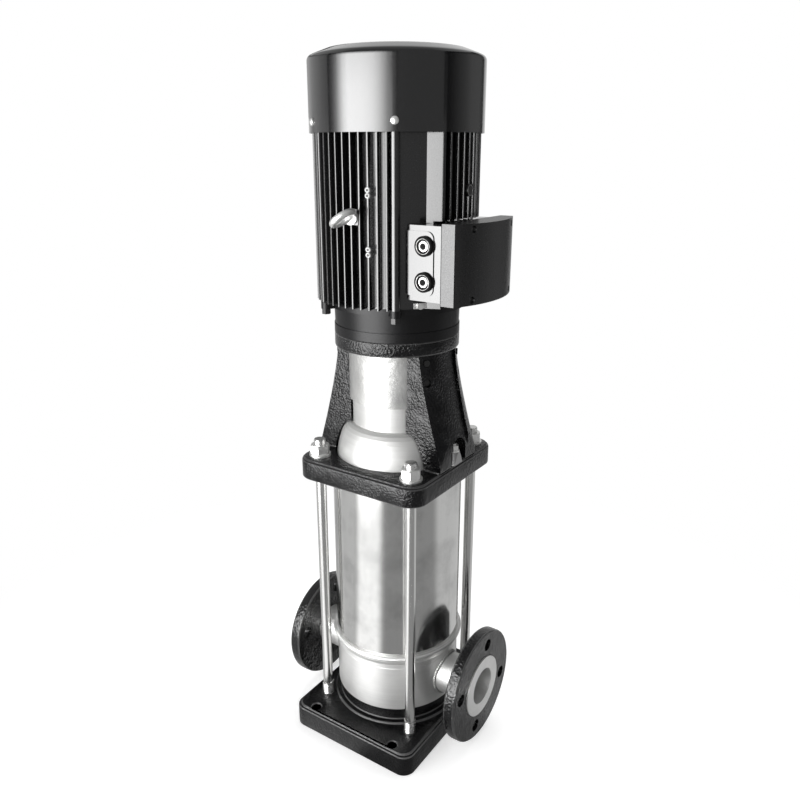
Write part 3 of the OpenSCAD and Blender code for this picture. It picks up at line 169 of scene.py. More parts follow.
def build_metal_grain():
    """Polishing lines that run one way on a metal, with soft smudges over them that change the roughness, and painted
    dark reflections: patches where the colour is darkened toward grey.
    """
    group, gin, gout = new_group(
        "metal_grain",
        [("Metal", COLOR, (0.7, 0.7, 0.69, 1)), ("Stretch", VECTOR, (1.0, 1.0, 60.0)), ("Line Size", FLOAT, 30.0),
         ("Gloss", FLOAT, 0.15), ("Line Depth", FLOAT, 0.06), ("Smudge", FLOAT, 0.08), ("Painted Dark Reflection", FLOAT, 0.0)],
        [("Color", COLOR), ("Roughness", FLOAT), ("Height", FLOAT)])
    place = add(group, "ShaderNodeTexCoord")
    stretch = add(group, "ShaderNodeMapping")
    group.links.new(place.outputs["Object"], stretch.inputs["Vector"])
    group.links.new(gin.outputs["Stretch"], stretch.inputs["Scale"])
    lines = add(group, "ShaderNodeTexNoise", Detail=4.0, Roughness=0.7)
    group.links.new(stretch.outputs["Vector"], lines.inputs["Vector"])
    group.links.new(gin.outputs["Line Size"], lines.inputs["Scale"])
    smudge = add(group, "ShaderNodeTexNoise", Scale=22.0, Detail=4.0)
    group.links.new(place.outputs["Object"], smudge.inputs["Vector"])
    off_line = math_node(group, "SUBTRACT", lines.outputs["Fac"], 0.5)
    off_smudge = math_node(group, "SUBTRACT", smudge.outputs["Fac"], 0.5)
    rough = math_node(group, "ADD", math_node(group, "ADD", gin.outputs["Gloss"],
                      math_node(group, "MULTIPLY", off_line, gin.outputs["Line Depth"])),
                      math_node(group, "MULTIPLY", off_smudge, gin.outputs["Smudge"]), True)
    group.links.new(rough, gout.inputs["Roughness"])
    shade = spread(group, lines.outputs["Fac"], 0.9, 1.06)
    tone = add(group, "ShaderNodeMix", set_data_type="RGBA", set_blend_type="MULTIPLY", Factor=1.0)
    group.links.new(gin.outputs["Metal"], tone.inputs[6])
    group.links.new(shade, tone.inputs[7])
    # Painted dark reflections: where the smudge noise is high, the metal's colour is darkened toward grey.
    dark_reflection = math_node(group, "MULTIPLY", math_node(group, "SUBTRACT", smudge.outputs["Fac"], 0.44), 4.0, True)
    dark_reflection = math_node(group, "MULTIPLY", dark_reflection, gin.outputs["Painted Dark Reflection"])
    group.links.new(blend_color(group, dark_reflection, tone.outputs[2], (0.16, 0.16, 0.16, 1)), gout.inputs["Color"])
    group.links.new(lines.outputs["Fac"], gout.inputs["Height"])
    return group


CAST_SKIN = build_cast_skin()
METAL_GRAIN = build_metal_grain()


def finish_material(name, group, values, bump, distance, metallic=0.0, coat=0.0, specular=0.5):
    """A material whose colour, roughness and bump come from one of the groups."""
    material = bpy.data.materials.new(name)
    material.use_nodes = True
    tree = material.node_tree
    shader = tree.nodes["Principled BSDF"]
    effect = tree.nodes.new("ShaderNodeGroup")
    effect.node_tree = group
    for label, value in values.items():
        effect.inputs[label].default_value = value
    tree.links.new(effect.outputs["Color"], shader.inputs["Base Color"])
    tree.links.new(effect.outputs["Roughness"], shader.inputs["Roughness"])
    dent = add(tree, "ShaderNodeBump", Strength=bump, Distance=distance)
    tree.links.new(effect.outputs["Height"], dent.inputs["Height"])
    tree.links.new(dent.outputs["Normal"], shader.inputs["Normal"])
    shader.inputs["Metallic"].default_value = metallic
    shader.inputs["Coat Weight"].default_value = coat
    shader.inputs["Coat Roughness"].default_value = COAT_ROUGHNESS
    shader.inputs["Specular IOR Level"].default_value = specular
    return material


def cast_material(name, paint, dust_and_highlight, lump, amount, gloss, bump, distance, sparkle_highlight=0.0, rim_highlight=0.0, **more):
    """Paint, rubber, plastic or iron. lump is the lumps' scale and amount is the share of dust. The second colour is
    that of the dust and of the painted highlights, the pale spots and pale rims.
    """
    return finish_material(name, CAST_SKIN, {
        "Paint": (*paint, 1), "Dust And Highlight": (*dust_and_highlight, 1), "Lump Size": lump, "Dust Amount": amount, "Gloss": gloss,
        "Painted Sparkles": sparkle_highlight, "Rim Highlight": rim_highlight,
    }, bump, distance, **more)


def metal_material(name, metal, stretch, line, gloss, depth, smudge, bump=0.04, distance=0.0002, metallic=1.0,
                   dark_reflection=0.0):
    """Bare metal. stretch draws the polishing lines out along the axis with the lowest scale."""
    return finish_material(name, METAL_GRAIN, {
        "Metal": (*metal, 1), "Stretch": stretch, "Line Size": line, "Gloss": gloss, "Line Depth": depth,
        "Smudge": smudge, "Painted Dark Reflection": dark_reflection,
    }, bump, distance, metallic=metallic)


# After the two colours of a cast material come the scale of its lumps, its share of dust, its roughness, and the
# strength and depth of its bump; its second colour is that of the dust and also of its painted highlights. After the
# colour of a metal come the stretch and scale of its lines, its roughness, and how far the lines and the smudges change
# that.
BLACK = (0.004, 0.004, 0.0045)
DUST = (0.05, 0.05, 0.05)
HIGHLIGHT_GREY = (0.42, 0.42, 0.42)
# In these three castings the share of dust is nil, so their second colour shows only in the painted highlights.
casting = cast_material("black_casting", BLACK, HIGHLIGHT_GREY, 360.0, 0.0, 0.16, 1.0, 0.0016, sparkle_highlight=0.10,
                        rim_highlight=1.2, specular=0.32)
base_cast = cast_material("smooth_casting", BLACK, HIGHLIGHT_GREY, 260.0, 0.0, 0.28, 1.0, 0.0010, sparkle_highlight=0.08,
                          rim_highlight=2.2, specular=0.29)
flange_cast = cast_material("flange_casting", BLACK, (0.40, 0.40, 0.40), 270.0, 0.0, 0.20, 1.0, 0.0016, sparkle_highlight=0.08,
                            rim_highlight=1.2, specular=0.50)
frame_paint = cast_material("motor_frame_paint", BLACK, DUST, 240.0, 0.03, 0.22, 0.10, 0.0003, coat=1.0)
shield_paint = cast_material("end_shield_paint", BLACK, DUST, 240.0, 0.03, 0.34, 0.12, 0.0003,
                             specular=0.25)
cowl_paint = cast_material("cowl_paint", BLACK, DUST, 160.0, 0.02, 0.16, 0.04, 0.0002, coat=1.0)
box_paint = cast_material("box_paint", BLACK, DUST, 200.0, 0.02, 0.16, 0.06, 0.0002, coat=1.0)
cover_paint = cast_material("cover_paint", BLACK, DUST, 200.0, 0.02, 0.30, 0.06, 0.0002, specular=0.75)
rubber = cast_material("black_rubber", (0.012, 0.012, 0.012), DUST, 500.0, 0.1, 0.55, 0.1, 0.0002)
matt_rubber = cast_material("plug_rubber", (0.006, 0.006, 0.006), (0.02, 0.02, 0.02), 500.0, 0.1, 0.7, 0.05, 0.0001,
                            specular=0.12)
plastic = cast_material("black_plastic", (0.01, 0.01, 0.01), (0.04, 0.04, 0.04), 700.0, 0.05, 0.32, 0.05, 0.0001)
resin = cast_material("brown_resin", (0.12, 0.05, 0.02), (0.2, 0.1, 0.05), 500.0, 0.2, 0.4, 0.1, 0.0002)
coil_varnish = cast_material("coil_varnish", (0.3, 0.09, 0.02), (0.45, 0.2, 0.06), 300.0, 0.4, 0.3, 0.5, 0.001)
bare_iron = cast_material("bare_iron", (0.16, 0.16, 0.16), (0.3, 0.3, 0.3), 300.0, 0.3, 0.45, 0.3, 0.0005)
# The sleeve, casing, head and guard get painted dark reflections, dark grey patches in their colour.
sleeve_steel = metal_material("polished_sleeve", (0.72, 0.72, 0.71), (1, 1, 0.02), 60.0, 0.16, 0.12, 0.16, dark_reflection=0.30)
casing_steel = metal_material("satin_casing", (0.76, 0.76, 0.75), (0.05, 0.05, 3.0), 160.0, 0.42, 0.2, 0.12, 0.1,
                              metallic=0.75, dark_reflection=0.12)
weld_steel = metal_material("weld_bead", (0.5, 0.5, 0.49), (1, 1, 1), 700.0, 0.3, 0.3, 0.2, 0.6, 0.0004)
thread_steel = metal_material("rolled_thread", (0.82, 0.82, 0.81), (1, 1, 1), 300.0, 0.26, 0.1, 0.1)
black_oxide = cast_material("blackened_screw", (0.008, 0.008, 0.008), DUST, 700.0, 0.1, 0.34, 0.1, 0.0001)
dome_steel = metal_material("polished_head", (0.61, 0.61, 0.60), (0.1, 0.1, 2.0), 120.0, 0.44, 0.1, 0.1, metallic=0.45,
                            dark_reflection=0.10)
guard_steel = metal_material("guard_sheet", (0.52, 0.52, 0.51), (0.5, 0.5, 0.5), 60.0, 0.40, 0.2, 0.3, 0.6, 0.0018,
                             metallic=0.6, dark_reflection=0.55)
rod_steel = metal_material("tie_rod_steel", (0.72, 0.72, 0.71), (1, 1, 0.05), 200.0, 0.2, 0.1, 0.08)
plated = metal_material("bright_plating", (0.80, 0.80, 0.79), (1, 1, 1), 300.0, 0.38, 0.1, 0.1, metallic=0.8)
dull_plated = metal_material("dull_plating", (0.35, 0.35, 0.35), (1, 1, 1), 300.0, 0.4, 0.1, 0.1)
sheet_steel = metal_material("pressed_steel", (0.6, 0.6, 0.59), (0.2, 0.2, 1), 200.0, 0.3, 0.1, 0.1)
core_steel = metal_material("core_plates", (0.35, 0.35, 0.36), (0.02, 0.02, 6.0), 300.0, 0.4, 0.1, 0.1, 0.4)
shaft_steel = metal_material("ground_shaft", (0.6, 0.6, 0.6), (0.05, 0.05, 4), 300.0, 0.22, 0.1, 0.05)
brass = metal_material("terminal_brass", (0.6, 0.42, 0.16), (1, 1, 1), 300.0, 0.3, 0.1, 0.1)

# The CAD nodes that have each material.
FINISHES = {
    casting: "motor_stool",
    base_cast: "base_plate",
    flange_cast: "suction_flange discharge_flange",
    frame_paint: "motor_frame",
    shield_paint: "drive_end_shield fan_end_shield",
    cowl_paint: "fan_cowl",
    box_paint: "terminal_base",
    cover_paint: "terminal_cover",
    rubber: "sleeve_seals terminal_gasket",
    plastic: "cooling_fan frame_plug",
    matt_rubber: "entry_plugs",
    black_oxide: "cover_screws shield_bolts plate_studs guard_screws",
    resin: "terminal_board",
    coil_varnish: "stator_windings",
    bare_iron: "coupling_halves",
    sleeve_steel: "outer_sleeve",
    casing_steel: "pump_casing suction_stub discharge_stub drain_plug",
    dome_steel: "pump_head",
    guard_steel: "front_guard rear_guard",
    rod_steel: "tie_rods",
    plated: "rod_washers rod_nuts gland_screws vent_plug cowl_screws lifting_eye earth_lug fan_clip",
    dull_plated: "vent_body coupling_bolts coupling_pin motor_bolts",
    sheet_steel: "stage_chambers outlet_cage impellers shaft_spacers",
    core_steel: "stator_core rotor_core",
    shaft_steel: "pump_shaft seal_gland seal_rotary motor_shaft bearing_outer_rings bearing_inner_rings bearing_balls "
                 "chamber_bushes seal_stationary",
    brass: "terminal_studs",
}
for material, names in FINISHES.items():
    for name in names.split():
        nodes[name].data.materials.clear()
        nodes[name].data.materials.append(material)


# Pieces that stand for CAD nodes.

def new_piece(work, name):
    """An object at the origin with the mesh built in work."""
    mesh = bpy.data.meshes.new(name)
    work.to_mesh(mesh)
    work.free()
    piece = bpy.data.objects.new(name, mesh)
    bpy.context.scene.collection.objects.link(piece)
    return piece


def shade_smooth(mesh, angle):
    """Smooth shading with sharp edges past the angle, in place of any normals kept from the CAD mesh."""
    if "custom_normal" in mesh.attributes:
        mesh.attributes.remove(mesh.attributes["custom_normal"])
    mesh.polygons.foreach_set("use_smooth", [True] * len(mesh.polygons))
    mesh.set_sharp_from_angle(angle=math.radians(angle))


def softened(node, name, body, width, material, chosen, segments=3, rim=None):
    """A copy of a CAD node with some sharp edges rounded, which stands for the node.

    chosen picks the edges by their two ends. rim tells from a face's middle and normal whether the painted rim
    highlight goes there.
    """
    mesh = nodes[node].data.copy()
    mesh.name = name
    work = bmesh.new()
    work.from_mesh(mesh)
    bmesh.ops.remove_doubles(work, verts=work.verts, dist=MERGE_DISTANCE)
    bmesh.ops.dissolve_limit(work, angle_limit=math.radians(1.0), verts=work.verts, edges=work.edges)
    weight = work.edges.layers.float.new("bevel_weight_edge")
    for edge in work.edges:
        sharp = len(edge.link_faces) == 2 and edge.calc_face_angle(0) > SHARP_ANGLE
        edge[weight] = 1.0 if sharp and chosen(edge.verts[0].co * 1000, edge.verts[1].co * 1000) else 0.0
    work.to_mesh(mesh)
    work.free()
    piece = bpy.data.objects.new(name, mesh)
    bpy.context.scene.collection.objects.link(piece)
    bevel = piece.modifiers.new("round_edges", "BEVEL")
    bevel.width = width
    bevel.segments = segments
    bevel.limit_method = "WEIGHT"
    bevel.use_clamp_overlap = False
    made = bpy.data.meshes.new_from_object(piece.evaluated_get(bpy.context.evaluated_depsgraph_get()))
    piece.modifiers.clear()
    piece.data = made
    made.materials.clear()
    made.materials.append(material)
    # The rim faces get the painted highlight through the attribute rim.
    if rim:
        rim_highlight_faces = [1.0 if rim(face.center * 1000, face.normal) else 0.0 for face in made.polygons]
        made.attributes.new("rim", "FLOAT", "FACE").data.foreach_set("value", rim_highlight_faces)
    shade_smooth(made, 32)
    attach(piece, body)
    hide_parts(node)


def base_edges(a, b):
    """The rims of the plate and the step of the pedestal."""
    step_height, inside_x, inside_y, underside = 37, 90, 115, 20
    level = abs(a.z - b.z) < 0.1
    outline = max(abs(a.x), abs(b.x)) > inside_x or max(abs(a.y), abs(b.y)) > inside_y
    return level and a.z > underside and (outline or abs(a.z - step_height) < 4)


def stool_edges(a, b):
    """The rims of the plate and of the top ring."""
    plate_bottom, plate_top, ring_bottom = 401, 433, 586
    level = abs(a.z - b.z) < 0.1
    plate = plate_bottom < a.z < plate_top and max(math.hypot(a.x, a.y), math.hypot(b.x, b.y)) > 97
    ring = a.z > ring_bottom and math.hypot(a.x, a.y) > 83
    return level and (plate or ring)


def fin_edges(a, b):
    """The long upright edges at the tips of the fins."""
    shortest, tip_r = 12, 104.6
    upright = math.hypot(a.x - b.x, a.y - b.y) < 0.1
    return upright and abs(a.z - b.z) > shortest and math.hypot(a.x, a.y) > tip_r


def flange_edges(a, b):
    """The two outer rims of a loose flange."""
    inside_r = 81.5
    return min(math.hypot(end.y, end.z - PORT_HEIGHT_MM) for end in (a, b)) > inside_r


def level_rim(middle, normal):
    """The rounded edges of the plates and of the top ring."""
    return 0.15 < abs(normal.z) < 0.95 and not 434 < middle.z < 584


def round_rim(middle, normal):
    """The rounded edges of a loose flange."""
    return 0.15 < abs(normal.x) < 0.95


softened("base_plate", "base_casting", "pump_body", 0.0022, base_cast, base_edges, rim=level_rim)
softened("motor_stool", "stool_casting", "pump_body", 0.0022, casting, stool_edges, rim=level_rim)
softened("discharge_flange", "discharge_ring_casting", "discharge_ring", 0.0012, flange_cast,
         flange_edges, rim=round_rim)
softened("suction_flange", "suction_ring_casting", "suction_ring", 0.0012, flange_cast,
         flange_edges, rim=round_rim)
softened("motor_frame", "finned_frame", "pump_body", 0.0007, frame_paint, fin_edges, 2)


def crisp_cowl():
    """The cowl with the crisp shoulder and sloped crown of pressed sheet in place of its plain round edge.

    Each point of the round edge moves to the same turn of the new path, and keeps its depth in the sheet.
    """
    work = bmesh.new()
    work.from_mesh(nodes["fan_cowl"].data)
    bmesh.ops.remove_doubles(work, verts=work.verts, dist=MERGE_DISTANCE)
    middle_r, middle_z, bend_r, sheet = 87.2, 928.0, 22.0, 3.0
    # Degrees round the middle of the bend, then radius and height.
    path = [(0, 109.2, 928), (24, 109.2, 934), (36, 109.2, 938), (44, 108.7, 940.2), (50, 107.6, 941.8),
            (56, 106.0, 942.9), (64, 102.6, 944.3), (76, 95.4, 947.0), (90, 87.2, 950)]

    def along(turn):
        """Radius and height of the path at a turn."""
        for (t0, r0, z0), (t1, r1, z1) in zip(path, path[1:]):
            if turn <= t1:
                k = (turn - t0) / (t1 - t0)
                return r0 + k * (r1 - r0), z0 + k * (z1 - z0)
        return path[-1][1:]

    for vert in work.verts:
        radius, height = math.hypot(vert.co.x, vert.co.y) * 1000, vert.co.z * 1000
        turn = math.degrees(math.atan2(height - middle_z, radius - middle_r))
        depth = bend_r - math.hypot(radius - middle_r, height - middle_z)
        if radius > middle_r - 0.5 and height > middle_z and -0.3 < depth < sheet:
            r0, z0 = along(max(0, turn - 2))
            r1, z1 = along(min(90, turn + 2))
            length = math.hypot(r1 - r0, z1 - z0)
            r, z = along(min(90, max(0, turn)))
            r, z = r - depth * (z1 - z0) / length, z + depth * (r1 - r0) / length
            vert.co.x *= r / radius
            vert.co.y *= r / radius
            vert.co.z = z / 1000
    piece = new_piece(work, "cowl_shell")
    shade_smooth(piece.data, 38)
    piece.data.materials.append(cowl_paint)
    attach(piece, "pump_body")
    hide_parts("fan_cowl")


crisp_cowl()


# Small turned pieces set at many places.

def turned(name, profile, steps=32):
    """A closed ring turned about Z from its section, a list of (radius, height) in metres."""
    work = bmesh.new()
    rows = [[work.verts.new((r * math.cos(t), r * math.sin(t), h)) for r, h in profile]
            for t in (2 * math.pi * k / steps for k in range(steps))]
    for row, after in zip(rows, rows[1:] + rows[:1]):
        for k in range(len(profile)):
            m = (k + 1) % len(profile)
            work.faces.new((row[k], after[k], after[m], row[m]))
    bmesh.ops.recalc_face_normals(work, faces=work.faces)
    return new_piece(work, name)


def round_wire(radius, wire, steps=8):
    """Section of a ring of round wire."""
    return [(radius + wire * math.cos(t), wire * math.sin(t)) for t in (2 * math.pi * k / steps for k in range(steps))]


def build_setter():
    """A node tree that sets a small piece at each point of a mesh, turned as the point says."""
    tree = bpy.data.node_groups.new("set_at_places", "GeometryNodeTree")
    tree.interface.new_socket("Places", in_out="INPUT", socket_type="NodeSocketGeometry")
    tree.interface.new_socket("Small Piece", in_out="INPUT", socket_type="NodeSocketObject")
    tree.interface.new_socket("Finish", in_out="INPUT", socket_type="NodeSocketMaterial")
    tree.interface.new_socket("Piece Scale", in_out="INPUT", socket_type="NodeSocketFloat")
    tree.interface.new_socket("Made", in_out="OUTPUT", socket_type="NodeSocketGeometry")
    gin, gout = tree.nodes.new("NodeGroupInput"), tree.nodes.new("NodeGroupOutput")
    turn = tree.nodes.new("GeometryNodeInputNamedAttribute")
    turn.data_type = "FLOAT_VECTOR"
    turn.inputs["Name"].default_value = "turn"
    facing = tree.nodes.new("FunctionNodeEulerToRotation")
    tree.links.new(turn.outputs["Attribute"], facing.inputs[0])
    part = tree.nodes.new("GeometryNodeObjectInfo")
    tree.links.new(gin.outputs["Small Piece"], part.inputs["Object"])
    setter = tree.nodes.new("GeometryNodeInstanceOnPoints")
    tree.links.new(gin.outputs["Places"], setter.inputs["Points"])
    tree.links.new(part.outputs["Geometry"], setter.inputs["Instance"])
    tree.links.new(facing.outputs[0], setter.inputs["Rotation"])
    tree.links.new(gin.outputs["Piece Scale"], setter.inputs["Scale"])
    real = tree.nodes.new("GeometryNodeRealizeInstances")
    finish = tree.nodes.new("GeometryNodeSetMaterial")
    tree.links.new(setter.outputs["Instances"], real.inputs["Geometry"])
    tree.links.new(real.outputs["Geometry"], finish.inputs["Geometry"])
    tree.links.new(gin.outputs["Finish"], finish.inputs["Material"])
    tree.links.new(finish.outputs["Geometry"], gout.inputs["Made"])
    return tree


SETTER = build_setter()


def set_at(name, small, places, body, material):
    """small is set at each place, a point in millimetres with the direction of its axis."""
    mesh = bpy.data.meshes.new(name)
    mesh.from_pydata([Vector(point) / 1000 for point, _ in places], [], [])
    turn = mesh.attributes.new("turn", "FLOAT_VECTOR", "POINT")
    for k, (_, axis) in enumerate(places):
        turn.data[k].vector = Vector(axis).to_track_quat("Z", "Y").to_euler()
    piece = bpy.data.objects.new(name, mesh)
    bpy.context.scene.collection.objects.link(piece)
    modifier = piece.modifiers.new("set_at_places", "NODES")
    modifier.node_group = SETTER
    sockets = {item.name: item.identifier for item in SETTER.interface.items_tree if item.in_out == "INPUT"}
    modifier[sockets["Small Piece"]] = small
    modifier[sockets["Finish"]] = material
    modifier[sockets["Piece Scale"]] = 1.0
    made = bpy.data.meshes.new_from_object(piece.evaluated_get(bpy.context.evaluated_depsgraph_get()))
    piece.modifiers.clear()
    piece.data = made
    bpy.data.objects.remove(small)
    shade_smooth(made, 40)
    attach(piece, body)


UP, FRONT = (0, 0, 1), (0, -1, 0)
RODS_MM = [(side * 75.75, face * 79.75) for side in (-1, 1) for face in (-1, 1)]
THREAD_PITCH_MM = 2
RIDGE_HEIGHTS_MM = [start + THREAD_PITCH_MM * k for start, count in ((35.2, 9), (449.2, 3)) for k in range(count)]
thread_ridge = turned("thread_ridge", [(0.0078, -0.00098), (0.00835, -0.00015), (0.00835, 0.00015), (0.0078, 0.00098)])
set_at("rod_threads", thread_ridge, [((x, y, z), UP) for x, y in RODS_MM for z in RIDGE_HEIGHTS_MM],
       "pump_body", thread_steel)

ENTRIES_MM = [(89, -78, z) for z in (729.5, 687.5)]
light_ring = turned("light_ring", round_wire(0.0089, 0.0003))
set_at("entry_light_rings", light_ring, [(point, FRONT) for point in ENTRIES_MM], "pump_body",
       plated)
eyelet = turned("entry_eyelet", [(0.0034, -0.0022), (0.0058, -0.0022), (0.0061, -0.0012), (0.0038, -0.0008)])
set_at("entry_eyelets", eyelet, [(point, FRONT) for point in ENTRIES_MM], "pump_body", plated)

STUD_TURN = math.radians(-74.5)
STUD_REACH_MM = 106.8
stud_axis = (math.cos(STUD_TURN), math.sin(STUD_TURN), 0)
stud_ring = turned("stud_ring", round_wire(0.00215, 0.0005))
set_at("stud_rings", stud_ring,
       [((STUD_REACH_MM * stud_axis[0], STUD_REACH_MM * stud_axis[1], z + off), stud_axis)
        for z in (789, 721) for off in (-3.2, 3.2)],
       "pump_body", plated)
plug_ring = turned("plug_ring", round_wire(0.0060, 0.0005))
set_at("frame_plug_ring", plug_ring, [((106.7, 0, 790), (1, 0, 0))], "pump_body", dull_plated)

fold_line = turned("fold_line", round_wire(0.0914, 0.00035), 192)
set_at("casing_fold", fold_line, [((0, 0, 127), UP)], "pump_body", casing_steel)


def weld_bead(name, side):
    """A rippled bead where a pipe end enters the upright casing wall. side is 1 or -1, as x is."""
    pipe_r, wall_r, bead_r = 30.35, 91.5, 2.6
    steps, around = 256, 10
    work = bmesh.new()
    rows = []
    for k in range(steps):
        t = 2 * math.pi * k / steps
        size = bead_r * (1 + 0.16 * math.sin(64 * t) + 0.10 * math.sin(5 * t + 1) + 0.07 * math.sin(13 * t))
        across, up = pipe_r * math.cos(t), pipe_r * math.sin(t)
        out = math.sqrt(wall_r ** 2 - across ** 2)
        middle = Vector((side * out, across, PORT_HEIGHT_MM + up))
        radial = Vector((0, math.cos(t), math.sin(t)))
        along = Vector((side, 0, 0))
        rows.append([work.verts.new((middle + (radial * math.cos(a) + along * math.sin(a)) * size) / 1000)
                     for a in (2 * math.pi * m / around for m in range(around))])
    for row, after in zip(rows, rows[1:] + rows[:1]):
        for m in range(around):
            n = (m + 1) % around
            work.faces.new((row[m], after[m], after[n], row[n]))
    bmesh.ops.recalc_face_normals(work, faces=work.faces)
    piece = new_piece(work, name)
    piece.data.polygons.foreach_set("use_smooth", [True] * len(piece.data.polygons))
    piece.data.materials.append(weld_steel)
    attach(piece, "pump_body")


weld_bead("discharge_weld", 1)
weld_bead("suction_weld", -1)


# The studio.

CAMERA_SIDE = -55.7
ROOM_GREY = (0.42, 0.42, 0.42, 1)
WHITE = (1, 1, 1, 1)


def set_range(node, low, high, low_out=0.0, high_out=1.0):
    """Sets the two ends of a Map Range node."""
    for label, value in (("From Min", low), ("From Max", high), ("To Min", low_out), ("To Max", high_out)):
        node.inputs[label].default_value = value


def build_room_tone():
    """Grey tone of the studio in reflections, by the angle round the pump from the camera's side.

    Bank is the glow of the broad pale band beside the camera.
    """
    group, gin, gout = new_group("room_tone", [("Direction", VECTOR, None), ("Bank", FLOAT, 0.0)], [("Color", COLOR)])
    turn = add(group, "ShaderNodeVectorRotate", set_rotation_type="Z_AXIS", Angle=math.radians(-CAMERA_SIDE))
    group.links.new(gin.outputs["Direction"], turn.inputs["Vector"])
    split = group.nodes.new("ShaderNodeSeparateXYZ")
    group.links.new(turn.outputs["Vector"], split.inputs[0])
    angle = math_node(group, "MULTIPLY", math_node(group, "ARCTAN2", split.outputs["Y"], split.outputs["X"]),
                      180 / math.pi)

    def beside(middle, half, soft):
        """1 within half a degree width of the middle angle, falling off smoothly to 0."""
        off = math_node(group, "ABSOLUTE", math_node(group, "SUBTRACT", angle, middle))
        fall = group.nodes.new("ShaderNodeMapRange")
        fall.interpolation_type = "SMOOTHSTEP"
        group.links.new(off, fall.inputs["Value"])
        set_range(fall, half, half + soft, 1.0, 0.0)
        return fall.outputs["Result"]

    # Middle, half width and soft edge in degrees, then the grey that each band adds.
    tone = math_node(group, "MULTIPLY", beside(-50, 15, 14), gin.outputs["Bank"])
    for middle, half, soft, strength in ((-105, 22, 14, 0.30), (105, 28, 16, 0.30), (180, 20, 30, 0.35),
                                         (-180, 20, 30, 0.35)):
        tone = math_node(group, "ADD", tone, math_node(group, "MULTIPLY", beside(middle, half, soft), strength))
    tone = math_node(group, "ADD", tone, 0.30)
    color = group.nodes.new("ShaderNodeCombineColor")
    for k in range(3):
        group.links.new(tone, color.inputs[k])
    group.links.new(color.outputs[0], gout.inputs["Color"])
    return group


ROOM_TONE = build_room_tone()


def build_floor():
    """White to the camera away from the pump, lit and shadowed near it, and a toned room in reflections."""
    work = bmesh.new()
    bmesh.ops.create_grid(work, x_segments=1, y_segments=1, size=12)
    floor = new_piece(work, "studio_floor")
    floor.location = (0, 0, -0.0006)
    material = bpy.data.materials.new("pale_floor")
    material.use_nodes = True
    material.cycles.emission_sampling = "NONE"
    tree = material.node_tree
    tree.nodes.remove(tree.nodes["Principled BSDF"])
    output = tree.nodes["Material Output"]
    path = tree.nodes.new("ShaderNodeLightPath")
    place = tree.nodes.new("ShaderNodeTexCoord")
    tone = tree.nodes.new("ShaderNodeGroup")
    tone.node_tree = ROOM_TONE
    tree.links.new(place.outputs["Object"], tone.inputs["Direction"])
    reach = tree.nodes.new("ShaderNodeVectorMath")
    reach.operation = "LENGTH"
    tree.links.new(place.outputs["Object"], reach.inputs[0])
    bank = tree.nodes.new("ShaderNodeMapRange")
    tree.links.new(reach.outputs["Value"], bank.inputs["Value"])
    set_range(bank, 0.9, 1.6, 1.0, 9.0)
    tree.links.new(bank.outputs["Result"], tone.inputs["Bank"])
    far = tree.nodes.new("ShaderNodeMapRange")
    far.interpolation_type = "SMOOTHSTEP"
    tree.links.new(reach.outputs["Value"], far.inputs["Value"])
    set_range(far, 0.30, 0.85)
    matt = add(tree, "ShaderNodeBsdfDiffuse", Color=(0.86, 0.86, 0.86, 1))
    lift = add(tree, "ShaderNodeEmission", Color=WHITE, Strength=0.5)
    white = add(tree, "ShaderNodeEmission", Color=WHITE, Strength=1.0)
    room = add(tree, "ShaderNodeEmission", Strength=1.0)
    tree.links.new(tone.outputs["Color"], room.inputs["Color"])
    near = tree.nodes.new("ShaderNodeAddShader")
    tree.links.new(matt.outputs[0], near.inputs[0])
    tree.links.new(lift.outputs[0], near.inputs[1])

    def mixed(factor, first, second):
        """A mix of two shader nodes."""
        mix = tree.nodes.new("ShaderNodeMixShader")
        tree.links.new(factor, mix.inputs[0])
        tree.links.new(first.outputs[0], mix.inputs[1])
        tree.links.new(second.outputs[0], mix.inputs[2])
        return mix

    seen = mixed(far.outputs["Result"], near, white)
    reflected = math_node(tree, "MAXIMUM", path.outputs["Is Glossy Ray"], path.outputs["Is Transmission Ray"])
    shown = mixed(path.outputs["Is Camera Ray"], matt, seen)
    tree.links.new(mixed(reflected, shown, room).outputs[0], output.inputs["Surface"])
    floor.data.materials.append(material)


def build_world():
    """White to the camera. In reflections it is the toned room, even overhead, and it lights matt surfaces evenly."""
    world = bpy.data.worlds.new("studio")
    bpy.context.scene.world = world
    world.use_nodes = True
    world.cycles.sampling_method = "NONE"
    tree = world.node_tree
    background = tree.nodes["Background"]
    path = tree.nodes.new("ShaderNodeLightPath")
    place = tree.nodes.new("ShaderNodeTexCoord")
    tone = tree.nodes.new("ShaderNodeGroup")
    tone.node_tree = ROOM_TONE
    tree.links.new(place.outputs["Generated"], tone.inputs["Direction"])
    reflected = math_node(tree, "MAXIMUM", path.outputs["Is Glossy Ray"], path.outputs["Is Transmission Ray"])
    split = tree.nodes.new("ShaderNodeSeparateXYZ")
    tree.links.new(place.outputs["Generated"], split.inputs[0])
    overhead = tree.nodes.new("ShaderNodeMapRange")
    overhead.interpolation_type = "SMOOTHSTEP"
    tree.links.new(split.outputs["Z"], overhead.inputs["Value"])
    set_range(overhead, 0.70, 0.93)
    room = blend_color(tree, overhead.outputs["Result"], tone.outputs["Color"], ROOM_GREY)
    indirect = blend_color(tree, reflected, ROOM_GREY, room)
    color = blend_color(tree, path.outputs["Is Camera Ray"], indirect, WHITE)
    tree.links.new(color, background.inputs["Color"])
    background.inputs["Strength"].default_value = 1.0


